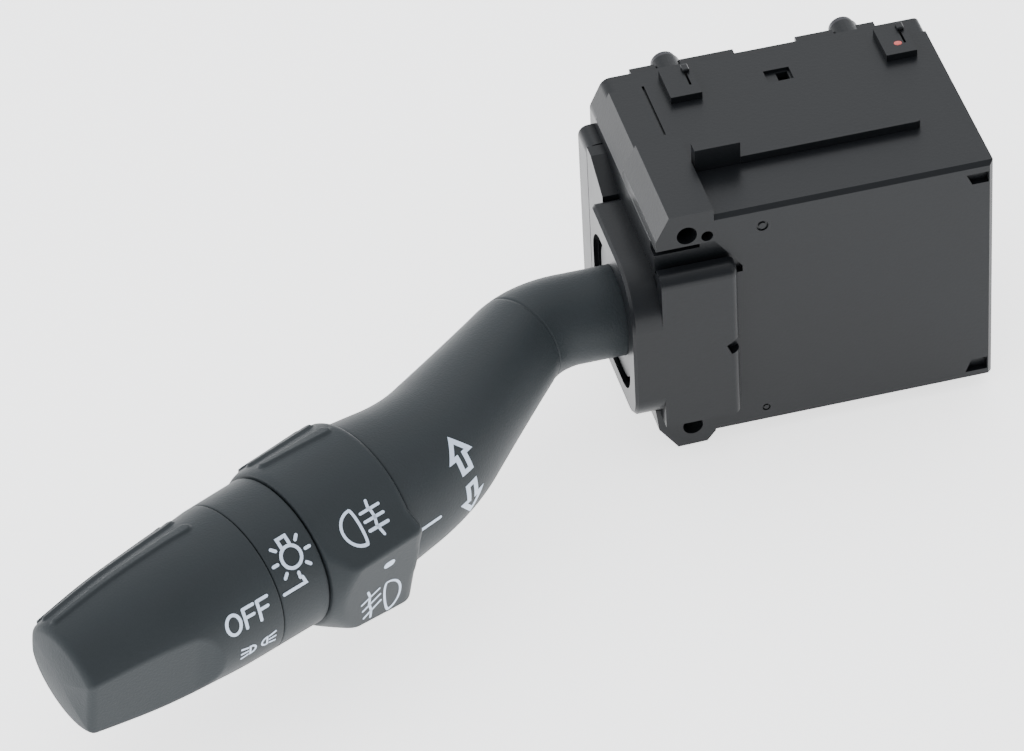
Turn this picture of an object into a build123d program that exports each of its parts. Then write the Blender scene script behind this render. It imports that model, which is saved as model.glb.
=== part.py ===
from build123d import *
from math import acos, atan2, cos, degrees, radians, sin
import os

# Combination stalk switch: a case with a lever that swings two ways, a fog collar and a light knob.
# The origin is midway between the two mounting screws, on the front plane of the case.
# +X runs along the case away from the lever, +Y away from the driver and +Z up. Millimetres, degrees.

# --- Mounting screws ---
screw_spacing = 40.5
screw_r = 1.7
screw_depth = 12.0

# --- Case ---
case_length = 57.3
case_reach = 5.3  # from the screw line to the lever side
case_depth = 36.7
case_height = 45.0
case_drop = 22.0  # from the screw centre down to the case floor
wall = 1.8
rim_depth = 4.0  # of the rear cover, along Y
seat = 0.1  # play between fixed pieces that slot together
gap = 0.3  # air between pieces that move past each other
running = 0.05  # radial play of a shaft in its bore

# --- Front cover and escutcheon ---
cover_width = 13.0
cover_rise = 14.3
cover_drop = 16.8
cover_proud = 3.0
plug_width = 12.0  # of the cover's plug in the opening of the case front
ring_length = 5.0  # how far the escutcheon stands out from the case, along X
ring_back = 23.0
ring_rise = 12.6
ring_drop = 15.4
ring_lip = 0.8
ring_wall = 1.6
mouth_front = 0.4
mouth_back = 21.9
mouth_rise = 8.8
mouth_drop = 12.4

# --- Lever ---
lever_z = -1.5
neck_y = 10.9
neck_r = 7.65
first_bend = 24.2  # distance of the bend vertices from the screw line, along -X
second_bend = 49.9
second_bend_y = -16.8
first_bend_r = 13.0
second_bend_r = 36.0
reach_angle = 26.6  # of the outer axis, from -X towards the driver
shoulder_r = 13.2
shoulder_at = 12.5  # distances along the outer axis, from the second bend vertex
swell = 1.25  # exponent of the lever's growth from neck to shoulder

# --- Fog collar, index ring and light knob, along the outer axis ---
collar_length = 16.5
collar_body_r = (14.1, 13.45)  # at the lever's end and at the knob's end
collar_ridge = ((16.4, 14.0), (16.1, 12.0))  # radius and angle above the driver's horizontal
collar_corner = ((17.6, -53.0), (16.3, -46.3))
bearing_r = 9.0
stem_r = 6.0
index_length = 9.1
index_r = 13.0
knob_length = 33.65
knob_r = 12.9
knob_tip_long = 9.8
knob_tip_short = 7.3
parting = 0.15  # between the flat ends of the index ring and the knob
grip_rise = 0.35  # height of the raised finger pads
shaft_r = 3.25

# --- Pivots and limits ---
turn_x = 1.5
turn_limit = 10.0
dimmer_x = 4.0
dimmer_limit = 6.0
journal_r = 4.0
dimmer_pin_r = 2.0
fog_limit = 30.0
plunger_r = 1.5
plunger_travel = 0.8

# --- Terminals ---
pin_side = 0.64
pin_pitch_x = 3.3
pin_pitch_z = 5.0
pins_in_row = 7

# --- Places worked out from the sizes above ---
left = -case_reach
right = left + case_length
floor = -case_drop
roof = floor + case_height
screw_z = screw_spacing / 2
back = case_depth
rim_back = case_depth + rim_depth
ring_end = left - ring_length
reach = Vector(-cos(radians(reach_angle)), -sin(radians(reach_angle)), 0)
elbow = Vector(-second_bend, second_bend_y, lever_z)
reach_axis = Axis(elbow, reach)
# On this plane the local x is the distance along the outer axis and the local y the radius upwards.
lengthwise = Plane(origin=elbow, x_dir=reach, z_dir=reach.cross(Vector(0, 0, 1)))
collar_at = shoulder_at + gap
index_at = collar_at + collar_length + gap
index_end = index_at + index_length
knob_at = index_end + parting
knob_end = knob_at + knob_length
stem_end = knob_at + 2.0


def across(distance):
    """Plane square to the outer axis; local x points at the driver's side and local y up."""
    side = Vector(0, 0, 1).cross(reach)
    return Plane(origin=elbow + reach * distance, x_dir=side, z_dir=reach)


def facing(y):
    """Plane parallel to the case front at the given Y, with local x along X and local y along Z."""
    return Plane.XZ.offset(-y)


def polar(length, turn):
    """Point at a radius and an angle in a sketch."""
    return Vector(length * cos(radians(turn)), length * sin(radians(turn)))


def turned(*outline):
    """Closed profile of (distance, radius) points on the lengthwise plane."""
    with BuildSketch(lengthwise) as profile:
        with BuildLine():
            Polyline(*outline, close=True)
        make_face()
    return profile.sketch


def block(x, y, z, mode=Mode.ADD):
    """Box between two values on each axis."""
    middle = ((x[0] + x[1]) / 2, (y[0] + y[1]) / 2, (z[0] + z[1]) / 2)
    with Locations(middle):
        Box(x[1] - x[0], y[1] - y[0], z[1] - z[0], mode=mode)


def rod(start, end, radius, mode=Mode.ADD):
    """Round bar between two points."""
    line = Vector(*end) - Vector(*start)
    with Locations(Plane(origin=start, z_dir=line)):
        Cylinder(radius, line.length, align=(Align.CENTER, Align.CENTER, Align.MIN), mode=mode)


def coil(start, direction, length, radius, wire, turns):
    """Round-wire spring with its first turn's centre at the start point."""
    with BuildPart() as spring:
        with BuildLine():
            path = Helix(length / turns, length, radius, center=start, direction=direction)
        with BuildSketch(Plane(origin=path @ 0, z_dir=path % 0)):
            RegularPolygon(wire, 4)
        sweep(path=path, is_frenet=True)
    return spring.part


def save(piece, name):
    """Label a finished piece and write its file."""
    piece.part.label = name
    export_step(piece.part, f"parts/{name}.step")


os.makedirs("parts", exist_ok=True)

# ============================== Main case ==============================
edge_cut = 0.7
ear_depth = 20.0
ear_top = roof + 1.5
ear_low = screw_z - 4.4
ear_right = 4.6
lower_ear = 7.0
corner_x = 4.5  # the case is cut away below and left of here, behind the lower ear
corner_z = -cover_drop
slope_x = 2.4
slope_z = 5.0
bridge_at = 22.2
bridge_thick = 3.0
pad_rise = 2.8
pad_top = 16.0
post_r = 3.0
post_x = (9.2, right - 11.7)
post_z = roof - post_r - wall / 2
pilot_r = 1.25
pawl_x = right - 8.2
flange_front = back - 3.9
pawl_window = 6.4
pawl_y = (8.0, 14.0)

with BuildPart() as main_case:
    # Front slab with both lower corners, then the box behind it without the lower left corner.
    with BuildSketch(facing(0)):
        with BuildLine():
            Polyline(
                (left, floor + 3.5), (left + 1.2, floor), (right, floor), (right, roof),
                (left + slope_x, roof), (left, roof - slope_z), close=True,
            )
        make_face()
    extrude(amount=-lower_ear)
    with BuildSketch(facing(lower_ear)) as box_section:
        with BuildLine():
            Polyline(
                (left, corner_z), (corner_x, corner_z), (corner_x, floor), (right, floor),
                (right, roof), (left + slope_x, roof), (left, roof - slope_z), close=True,
            )
        make_face()
    extrude(amount=lower_ear - case_depth)
    with BuildSketch(facing(wall)):
        add(offset(box_section.sketch_local, -wall, kind=Kind.INTERSECTION, mode=Mode.PRIVATE))
    extrude(amount=wall - case_depth, mode=Mode.SUBTRACT)
    # Bevel along the top and the free edge of the front.
    chamfer(main_case.faces().sort_by(Axis.Y)[0].edges().filter_by(
        lambda edge: edge.center().X > right - 0.1 or edge.center().Z > roof - 0.1), edge_cut)
    # Openings for the lever on the left and for the front cover.
    block((left, left + wall), (0, ring_back - 0.5), (-ring_drop + 2, ring_rise - 1.6), Mode.SUBTRACT)
    block((left, left + plug_width + seat), (0, wall),
          (-cover_drop + ring_wall - seat, cover_rise - ring_wall + seat), Mode.SUBTRACT)
    # Long upper ear, and the hexagonal lower ear.
    with BuildSketch(facing(0)):
        with BuildLine():
            Polyline(
                (left, ear_low), (ear_right, ear_low), (ear_right, ear_top),
                (-2.9, ear_top), (left + 0.1, screw_z - 0.1), close=True,
            )
        make_face()
    extrude(amount=-ear_depth)
    with BuildSketch(facing(0)):
        with BuildLine():
            Polyline(
                (left, -cover_drop + 1), (left, -ring_drop - seat), (-6.3, -ring_drop - seat),
                (-5.8, -screw_z + 0.5), (-2.6, -screw_z - 4.0),
                (2.4, -screw_z - 3.9), (3.9, -screw_z - 2.1), (3.9, -cover_drop + 1), close=True,
            )
        make_face()
    extrude(amount=-lower_ear)
    # Shallow valley with a ledge between the upper ear and the front cover.
    with BuildSketch(facing(0)):
        with BuildLine():
            Polyline(
                (left, 13.0), (left, 18.1), (4.6, 18.1), (9.2, 11.8), (9.2, 10.6), (7.0, 10.6),
                (7.0, 13.0), close=True,
            )
        make_face()
    extrude(amount=-1.1, mode=Mode.SUBTRACT)
    block((left, 2.4), (0, 3.2), (ear_low + 0.6, 18.1), Mode.SUBTRACT)
    # Screw holes and the locating hole beside the upper one.
    rod((0, 0, screw_z), (0, screw_depth, screw_z), screw_r, Mode.SUBTRACT)
    rod((0, 0, -screw_z), (0, lower_ear, -screw_z), screw_r, Mode.SUBTRACT)
    rod((3.4, 0, screw_z - 0.9), (3.4, 4, screw_z - 0.9), 1.0, Mode.SUBTRACT)
    # Rib with a rounded end, and the tall lug that the column bracket catches.
    with BuildSketch(Plane.XY.offset(roof)):
        with Locations((28.2, 12.7)):
            SlotOverall(30.4, 1.5)
        with Locations((14.6, 12.7)):
            Rectangle(4, 1.5)
    extrude(amount=1.5)
    block((4.9, 12.6), (12.0, 14.2), (roof - 1, roof + 4.4))
    # Test window in a shallow recess, groove beside the first latch, and moulding marks.
    block((23.0, 27.4), (back - 5.5, back - 2.3), (roof - 0.6, roof), Mode.SUBTRACT)
    block((25.0, 27.0), (back - 5.1, back - 2.7), (roof - wall, roof), Mode.SUBTRACT)
    block((2.7, 3.1), (back - 13.6, back), (roof - 0.5, roof), Mode.SUBTRACT)
    for mark_z, mark_r in ((19.2, 1.0), (-19.5, 0.7)):
        with BuildSketch(facing(0)):
            with Locations((12.7, mark_z)):
                Circle(mark_r)
                Circle(mark_r * 0.6, mode=Mode.SUBTRACT)
        extrude(amount=-0.3, mode=Mode.SUBTRACT)
    # Wedge-shaped corner recesses on the front.
    for outer_z, inner_z in ((roof - 1.9, roof - 4.0), (floor + 1.1, floor + 3.6)):
        with BuildSketch(facing(0)):
            with BuildLine():
                Polyline((right - 4.7, outer_z), (right - 0.9, outer_z), (right - 0.9, inner_z),
                         (right - 3.7, inner_z), close=True)
            make_face()
        extrude(amount=-1.2, mode=Mode.SUBTRACT)
    # Bridge with the rear bearing of the turn bracket.
    block((left + wall / 2, turn_x + 10), (bridge_at, bridge_at + bridge_thick), (-14, 11))
    rod((turn_x, bridge_at, lever_z), (turn_x, bridge_at + bridge_thick, lever_z),
        journal_r + running, Mode.SUBTRACT)
    # Screw posts for the rear cover.
    for x in post_x:
        rod((x, back - 16, post_z), (x, back, post_z), post_r)
        rod((x, back - 10, post_z), (x, back, post_z), pilot_r, Mode.SUBTRACT)
    # Window for the cancelling pawl.
    block((right - wall, right), pawl_y, (lever_z - pawl_window, lever_z + pawl_window), Mode.SUBTRACT)
    # Raised pad on the lever side, behind the escutcheon.
    with BuildSketch(Plane.YZ.offset(left - pad_rise)):
        with BuildLine():
            Polyline((ring_back + seat, -ring_drop), (flange_front - gap, -ring_drop),
                     (flange_front - gap, pad_top), (flange_front - 2.8, pad_top),
                     (ring_back + seat, ring_rise), close=True)
        make_face()
    extrude(amount=pad_rise)
save(main_case, "main_case")

# ============================== Front cover with the escutcheon ==============================
bearing_depth = 3.0
with BuildPart() as front_cover:
    # Cover block over the front of the turn pivot, with its top edge well rounded.
    block((left, left + cover_width), (-cover_proud, 0), (-cover_drop, cover_rise))
    fillet(front_cover.faces().sort_by(Axis.Y)[0].edges().sort_by(Axis.Z)[-1], 2.2)
    fillet(front_cover.edges().filter_by(Axis.Y).group_by(Axis.X)[-1], 1.2)
    # Escutcheon ring, hollow behind a thin lip.
    escutcheon = Plane(origin=(ring_end, 0, 0), x_dir=(0, 1, 0), z_dir=(1, 0, 0))
    with BuildSketch(escutcheon) as ring_face:
        with BuildLine():
            FilletPolyline(
                (-cover_proud, -ring_drop), (ring_back, -ring_drop), (ring_back, ring_rise),
                (-cover_proud, ring_rise), radius=(5.0, 2.0, 2.0, 8.5), close=True,
            )
        make_face()
    extrude(amount=ring_length)
    chamfer(front_cover.faces().sort_by(Axis.X)[0].outer_wire().edges(), 0.5)
    with BuildSketch(escutcheon.offset(ring_lip)):
        add(offset(ring_face.sketch_local, -ring_wall, mode=Mode.PRIVATE))
    extrude(amount=ring_length - ring_lip, mode=Mode.SUBTRACT)
    with BuildSketch(escutcheon):
        with Locations(((mouth_front + mouth_back) / 2, (mouth_rise - mouth_drop) / 2)):
            RectangleRounded(mouth_back - mouth_front, mouth_rise + mouth_drop, 5.0)
    extrude(amount=ring_lip, mode=Mode.SUBTRACT)
    # Plug that fills the opening in the case front, and the pivot bearing in it.
    block((left + seat, left + plug_width), (0, wall), (-cover_drop + ring_wall, cover_rise - ring_wall))
    rod((turn_x, wall - bearing_depth, lever_z), (turn_x, wall, lever_z), journal_r + running,
        Mode.SUBTRACT)
    # Snap window on the free edge.
    with BuildSketch(facing(-cover_proud)):
        with BuildLine():
            Polyline((5.4, -2.0), (left + cover_width, -0.6), (left + cover_width, -3.4),
                     (6.2, -3.9), close=True)
        make_face()
    extrude(amount=-1.6, mode=Mode.SUBTRACT)
save(front_cover, "front_cover")

# ============================== Rear cover with the connector socket ==============================
latch_x = ((6.1, 11.5), (right - 8.7, right - 3.4))
latch_front = back - 6.1
latch_thick = 1.3
boss_r = 2.6
boss_end = rim_back + 5.0
flange_back = 1.6  # how far the side flange passes the case's rear edge
board_front = back - 5.7
board_x = (6.5, right - 4.0)
board_z = (floor + 5.0, roof - 8.5)
board_thick = 2.0
board_back = board_front + board_thick
socket_middle = (27.5, -7.0)
socket_wall = 1.5
socket_width = pin_pitch_x * (pins_in_row - 1) + 7.2
socket_height = pin_pitch_z + 8.0
socket_depth = 13.0
pins_end = rim_back + 7.8
pin_places = [
    (socket_middle[0] + pin_pitch_x * (i - (pins_in_row - 1) / 2), socket_middle[1] + side * pin_pitch_z / 2)
    for side in (-1, 1) for i in range(pins_in_row)
]
standoffs = [(x, z) for x in (board_x[0] + 3, board_x[1] - 2.5) for z in (board_z[0] + 3, board_z[1] - 3)]

with BuildPart() as rear_cover:
    with BuildSketch(facing(back)) as rim:
        with BuildLine():
            FilletPolyline(
                (left, corner_z), (corner_x, corner_z), (corner_x, floor), (right, floor),
                (right, roof), (left + slope_x, roof), (left, roof - slope_z),
                radius=(1.0, 1.0, 1.0, 1.0, 1.0, 2.0, 2.0), close=True,
            )
        make_face()
    extrude(amount=-rim_depth)
    with BuildSketch(facing(back)):
        add(offset(rim.sketch.moved(Location((0, -back, 0))), -wall, mode=Mode.PRIVATE))
    extrude(amount=wall - rim_depth, mode=Mode.SUBTRACT)
    # Latch arms over the top and under the bottom of the case, each with a slit that lets it flex.
    for x0, x1 in latch_x:
        for z0, z1 in ((roof, roof + latch_thick), (floor - latch_thick, floor)):
            block((x0, x1), (latch_front, back + flange_back), (z0, z1))
            block((x1 - 1.5, x1 - 1.1), (latch_front + 2.5, back + 1.6), (z0, z1), Mode.SUBTRACT)
    # Flange beside the escutcheon.
    with BuildSketch(facing(flange_front)):
        with BuildLine():
            FilletPolyline((left - pad_rise, -ring_drop), (left, -ring_drop), (left, pad_top),
                           (left - pad_rise, pad_top), radius=(0.5, 0, 0, 1.8), close=True)
        make_face()
    extrude(amount=flange_front - back - flange_back)
    # Raised pads along the back's upper edge, screw bosses and standoffs for the contact board.
    for x0, x1, height in ((2.6, 7.0, 3.7), (11.2, 20.6, 3.7), (right - 20.6, right - 14.0, 3.7),
                           (right - 10.0, right - 6.8, 3.7), (right - 2.2, right - 0.4, 1.8)):
        block((x0, x1), (rim_back, rim_back + height), (13.0, roof - 2))
    for x in post_x:
        rod((x, back, post_z), (x, boss_end, post_z), boss_r)
        rod((x, back, post_z), (x, boss_end, post_z), pilot_r + seat, Mode.SUBTRACT)
    for x, z in standoffs:
        rod((x, board_back, z), (x, rim_back - wall, z), 2.0)
    # Connector shroud with a latch ramp, and the holes that the terminal pins pass.
    with BuildSketch(facing(rim_back)):
        with Locations(socket_middle):
            RectangleRounded(socket_width + 2 * socket_wall, socket_height + 2 * socket_wall, 1.5)
            RectangleRounded(socket_width, socket_height, 0.8, mode=Mode.SUBTRACT)
    extrude(amount=-socket_depth)
    block((socket_middle[0] - 3, socket_middle[0] + 3),
          (rim_back + socket_depth - 6, rim_back + socket_depth - 3),
          (socket_middle[1] + socket_height / 2 + socket_wall,
           socket_middle[1] + socket_height / 2 + socket_wall + 1.4))
    with BuildSketch(facing(rim_back - wall)):
        with Locations(*pin_places):
            Rectangle(pin_side + 2 * seat, pin_side + 2 * seat)
    extrude(amount=-wall, mode=Mode.SUBTRACT)
save(rear_cover, "rear_cover")

with BuildPart() as cover_screws:
    for x in post_x:
        rod((x, back - 9, post_z), (x, boss_end, post_z), pilot_r - running)
        rod((x, boss_end, post_z), (x, boss_end + 1.8, post_z), boss_r - 0.4)
    chamfer(cover_screws.faces().filter_by(Axis.Y).group_by(Axis.Y)[-1].edges(), 0.5)
    for x in post_x:
        block((x - 1.2, x + 1.2), (boss_end + 0.8, boss_end + 1.8), (post_z - 0.3, post_z + 0.3),
              Mode.SUBTRACT)
        block((x - 0.3, x + 0.3), (boss_end + 0.8, boss_end + 1.8), (post_z - 1.2, post_z + 1.2),
              Mode.SUBTRACT)
save(cover_screws, "cover_screws")

# ============================== Contact board, contacts and terminals ==============================
slider_x = turn_x + 21.5  # where the turn bracket drives the turn slider
slider_half = 6.0
slider_front = board_front - 5.0
slider_back = board_front - 1.0
slide_reach = (slider_x - turn_x) * radians(turn_limit)
rail_thick = 1.2
contact_thick = 0.3
with BuildPart() as contact_board:
    block(board_x, (board_front, board_back), board_z)
    for side in (-1, 1):
        inner = slider_x + side * (slider_half + gap)
        outer = inner + side * rail_thick
        block((min(inner, outer), max(inner, outer)), (slider_front, board_front),
              (lever_z - slider_half - slide_reach - 1, lever_z + slider_half + slide_reach + 1))
    # Raised key that centres the board.
    block((right - 14, right - 8), (board_front - 1.0, board_front), (-3.0, 3.0))
save(contact_board, "contact_board")

with BuildPart() as fixed_contacts:
    for x in (slider_x - 4, slider_x, slider_x + 4):
        for z0, z1 in ((-12.4, -5.0), (-3.6, 0.6), (2.0, 9.4)):
            block((x - 0.9, x + 0.9), (board_front - contact_thick, board_front), (z0, z1))
save(fixed_contacts, "fixed_contacts")

with BuildPart() as terminal_pins:
    with BuildSketch(facing(board_back)):
        with Locations(*pin_places):
            Rectangle(pin_side, pin_side)
    extrude(amount=board_back - pins_end)
    chamfer(terminal_pins.faces().filter_by(Axis.Y).group_by(Axis.Y)[-1].edges(), 0.15)
save(terminal_pins, "terminal_pins")

with BuildPart() as turn_slider:
    block((slider_x - slider_half, slider_x + slider_half), (slider_front, slider_back),
          (lever_z - slider_half, lever_z + slider_half))
    with BuildSketch(facing(slider_front)):
        with Locations((slider_x - 0.4, lever_z)):
            SlotOverall(2 * plunger_r + 2.2, 2 * plunger_r + 0.1)
    extrude(amount=slider_front - slider_back, mode=Mode.SUBTRACT)
    chamfer(turn_slider.edges().filter_by(Axis.Y).group_by(SortBy.LENGTH)[-1].filter_by(
        lambda edge: abs(edge.center().X - slider_x) > slider_half - 0.1), 0.6)
save(turn_slider, "turn_slider")

with BuildPart() as turn_wipers:
    for x in (slider_x - 4, slider_x + 4):
        block((x - 0.7, x + 0.7), (slider_back, slider_back + contact_thick),
              (lever_z - 4.5, lever_z + 4.5))
        for z in (lever_z - 3.8, lever_z + 3.8):
            rod((x, slider_back + contact_thick, z), (x, slider_back + 0.45, z), 0.6)
save(turn_wipers, "turn_wipers")

# ============================== Turn bracket (gimbal) ==============================
frame_x = (-3.0, 12.0)
frame_y = (3.0, 19.2)
frame_half = 8.5
window_y = 5.8
window_z = 5.3
cheek_y = (6.4, 15.4)  # inner faces of the two side plates
cheek_thick = 2.0
cheek_z = (lever_z - 7.7, lever_z + 7.7)
cross_x = (20.0, 26.0)
tail_end = 19.0
tail_half_y = 2.0
tail_half_z = 2.5
shield_half = 8.6
shield_top = 8.2
shield_low = -11.6
nose = plunger_r
dimmer_tip = 21.6  # X of the dimmer plunger's tip
turn_tip = right - 18.6  # X of the turn plunger's tip
dimmer_track = dimmer_tip - dimmer_x + gap
turn_track = turn_tip - turn_x + gap
notch_depth = 0.6
snout_end = turn_tip - 2.4
snout_r = 3.4
slider_hole_x = 16.0
guide_x = (13.1, 18.9)

with BuildPart() as turn_bracket:
    # Cross-piece with the dimmer detent track cut in its inner face.
    block(cross_x, (cheek_y[0] - cheek_thick, cheek_y[1] + cheek_thick), cheek_z)
    with Locations((dimmer_x, neck_y, lever_z)):
        Cylinder(dimmer_track, 20, mode=Mode.SUBTRACT)
    for turn in (-dimmer_limit, 0, dimmer_limit):
        with Locations((dimmer_x + dimmer_track * cos(radians(turn)),
                        neck_y + dimmer_track * sin(radians(turn)), lever_z)):
            Cylinder(notch_depth, 20, mode=Mode.SUBTRACT)
    # Side plates and the frame that the lever's root swings in.
    for y0, y1 in ((cheek_y[0] - cheek_thick, cheek_y[0]), (cheek_y[1], cheek_y[1] + cheek_thick)):
        block((frame_x[1], cross_x[1]), (y0, y1), cheek_z)
    with BuildSketch(Plane(origin=(frame_x[0], neck_y, lever_z), x_dir=(0, 1, 0), z_dir=(1, 0, 0))):
        with Locations(((frame_y[0] + frame_y[1]) / 2 - neck_y, 0)):
            RectangleRounded(frame_y[1] - frame_y[0], 2 * frame_half, 1.5)
        Rectangle(2 * window_y, 2 * window_z, mode=Mode.SUBTRACT)
    extrude(amount=frame_x[1] - frame_x[0])
    # Journals with thrust shoulders.
    rod((turn_x, wall - bearing_depth + gap, lever_z), (turn_x, frame_y[0], lever_z), journal_r)
    rod((turn_x, wall + gap, lever_z), (turn_x, frame_y[0] + 0.1, lever_z), journal_r + 1.0)
    rod((turn_x, frame_y[1], lever_z), (turn_x, bridge_at + bridge_thick + gap, lever_z), journal_r)
    rod((turn_x, frame_y[1] - 0.1, lever_z), (turn_x, bridge_at - gap, lever_z), journal_r + 1.0)
    # Bore for the dimmer pin, snout for the turn plunger and the pin that drives the turn slider.
    rod((dimmer_x, neck_y, lever_z - frame_half), (dimmer_x, neck_y, lever_z + frame_half),
        dimmer_pin_r + running, Mode.SUBTRACT)
    rod((cross_x[1] - 1, neck_y, lever_z), (snout_end, neck_y, lever_z), snout_r)
    rod((snout_end - 7, neck_y, lever_z), (snout_end, neck_y, lever_z), nose + running, Mode.SUBTRACT)
    rod((slider_x, cheek_y[1] + cheek_thick - 0.5, lever_z), (slider_x, slider_back - 0.5, lever_z),
        plunger_r)
    # Ribs that guide the dimmer slider.
    for x0, x1 in ((frame_x[1], guide_x[0]), (guide_x[1], guide_x[1] + 1.0)):
        block((x0, x1), cheek_y, (lever_z + tail_half_z + 0.5, lever_z + 6.4))
save(turn_bracket, "turn_bracket")

with BuildPart() as dimmer_pin:
    rod((dimmer_x, neck_y, lever_z - frame_half - 0.8), (dimmer_x, neck_y, lever_z + frame_half),
        dimmer_pin_r)
    rod((dimmer_x, neck_y, lever_z + frame_half), (dimmer_x, neck_y, lever_z + frame_half + 0.9),
        dimmer_pin_r + 0.8)
    chamfer(dimmer_pin.edges().group_by(Axis.Z)[0], 0.3)
save(dimmer_pin, "dimmer_pin")


def plunger(tip, length, hollow):
    """Detent plunger along X with a round nose at the tip and a spring bore behind."""
    with BuildPart() as pin:
        rod((tip - length, neck_y, lever_z), (tip - nose, neck_y, lever_z), nose)
        with Locations((tip - nose, neck_y, lever_z)):
            Sphere(nose)
        rod((tip - length, neck_y, lever_z), (tip - length + hollow, neck_y, lever_z), 1.05,
            Mode.SUBTRACT)
    return pin


plunger_length = 7.0
plunger_hollow = 4.6
turn_plunger = plunger(turn_tip, plunger_length, plunger_hollow)
save(turn_plunger, "turn_plunger")

spring_r = 0.75
spring_wire = 0.17
spring_turns = 5
with BuildPart() as turn_spring:
    start = snout_end - 7 + spring_wire + 0.02
    finish = turn_tip - plunger_length + plunger_hollow - plunger_travel - spring_wire - 0.05
    add(coil((start, neck_y, lever_z), (1, 0, 0), finish - start, spring_r, spring_wire, spring_turns))
save(turn_spring, "turn_spring")

# Cam block fixed in the case: the turn detent track, and a yoke for the cancelling pawl.
yoke_y = (wall, 17.0)
yoke_gap = (7.2, 14.8)
cam_x = (turn_tip - 1.2, turn_tip + 5.0)
cam_half = 10.5
with BuildPart() as detent_cam:
    block(cam_x, yoke_y, (lever_z - cam_half, lever_z + cam_half))
    with Locations(Plane(origin=(turn_x, 0, lever_z), z_dir=(0, 1, 0))):
        Cylinder(turn_track, 60, mode=Mode.SUBTRACT)
    for turn in (-turn_limit, 0, turn_limit):
        z = lever_z + turn_track * sin(radians(turn))
        x = turn_x + turn_track * cos(radians(turn))
        rod((x, yoke_y[0], z), (x, yoke_y[1], z), notch_depth, Mode.SUBTRACT)
    for y0, y1 in ((yoke_y[0], yoke_gap[0]), (yoke_gap[1], yoke_y[1])):
        block((cam_x[1], pawl_x + 3.5), (y0, y1), (lever_z - 4, lever_z + 4))
    rod((pawl_x, yoke_y[0], lever_z), (pawl_x, yoke_y[1], lever_z), 1.5 + running, Mode.SUBTRACT)
save(detent_cam, "detent_cam")

# ============================== Cancelling pawl ==============================
pawl_pin_r = 1.5
pawl_nose = right - gap  # the nose stays just inside the wall
pawl_hub_r = 2.6
coil_y = (11.4, 13.7)
coil_r = 3.3
coil_wire = 0.3
coil_turns = 2
with BuildPart() as cancel_pawl:
    middle = (pawl_y[0] + pawl_y[1]) / 2
    width = pawl_y[1] - pawl_y[0] - 2 * gap
    with BuildSketch(facing(middle - width / 2)):
        with BuildLine():
            Polyline((pawl_x, lever_z - 2.3), (pawl_nose - 3, lever_z - 2.1), (pawl_nose, lever_z - 0.9),
                     (pawl_nose, lever_z + 0.9), (pawl_nose - 3, lever_z + 2.1),
                     (pawl_x, lever_z + 2.3), close=True)
        make_face()
        with Locations((pawl_x, lever_z)):
            Circle(pawl_hub_r)
    extrude(amount=-width)
    fillet(cancel_pawl.edges().filter_by(Axis.Y).group_by(Axis.X)[-1], 0.7)
    rod((pawl_x, 0, lever_z), (pawl_x, 20, lever_z), pawl_pin_r + running, Mode.SUBTRACT)
    with BuildSketch(facing(coil_y[0])):
        with Locations((pawl_x, lever_z)):
            Circle(coil_r + coil_wire + gap)
            Circle(pawl_hub_r, mode=Mode.SUBTRACT)
    extrude(amount=coil_y[0] - coil_y[1] - 1, mode=Mode.SUBTRACT)
save(cancel_pawl, "cancel_pawl")

with BuildPart() as cancel_pin:
    rod((pawl_x, yoke_y[0] + 0.3, lever_z), (pawl_x, yoke_y[1] + 0.8, lever_z), pawl_pin_r)
    chamfer(cancel_pin.edges().group_by(Axis.Y)[-1], 0.3)
save(cancel_pin, "cancel_pin")

# ============================== Dimmer slider on the bracket ==============================
with BuildPart() as dimmer_slider:
    block((guide_x[0] + gap / 2, guide_x[1] - gap / 2), (neck_y - 2.9, neck_y + 2.9),
          (lever_z + 3.0, lever_z + 6.8))
    rod((slider_hole_x, neck_y, lever_z), (slider_hole_x, neck_y, lever_z + 7), 1.2 + seat, Mode.SUBTRACT)
save(dimmer_slider, "dimmer_slider")

with BuildPart() as dimmer_wiper:
    block((guide_x[0] + 0.6, guide_x[0] + 1.6), (neck_y - 2.6, neck_y + 2.6),
          (lever_z + 6.8, lever_z + 7.1))
    for y in (neck_y - 2.1, neck_y + 2.1):
        rod((guide_x[0] + 1.1, y, lever_z + 7.0), (guide_x[0] + 1.1, y, cheek_z[1] - 0.25), 0.4)
save(dimmer_wiper, "dimmer_wiper")

with BuildPart() as dimmer_contact_plate:
    block((frame_x[1] + 0.1, cross_x[0]), (cheek_y[0] - cheek_thick, cheek_y[1] + cheek_thick),
          (cheek_z[1], cheek_z[1] + 1.2))
save(dimmer_contact_plate, "dimmer_contact_plate")

with BuildPart() as dimmer_contacts:
    for y0, y1 in ((neck_y - 4.2, neck_y - 0.4), (neck_y + 0.4, neck_y + 4.2)):
        block((guide_x[0] + 0.2, guide_x[0] + 2.0), (y0, y1), (cheek_z[1] - 0.2, cheek_z[1]))
save(dimmer_contacts, "dimmer_contacts")

# ============================== Cancelling pawl's spring ==============================
with BuildPart() as cancel_spring:
    add(coil((pawl_x, coil_y[0] + 0.4, lever_z), (0, 1, 0), coil_y[1] - coil_y[0] - 0.8, coil_r,
             coil_wire, coil_turns))
    rod((cam_x[1] + 0.3, coil_y[0] + 0.4, lever_z), (pawl_x - coil_r, coil_y[0] + 0.4, lever_z),
        coil_wire)
save(cancel_spring, "cancel_spring")

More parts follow.
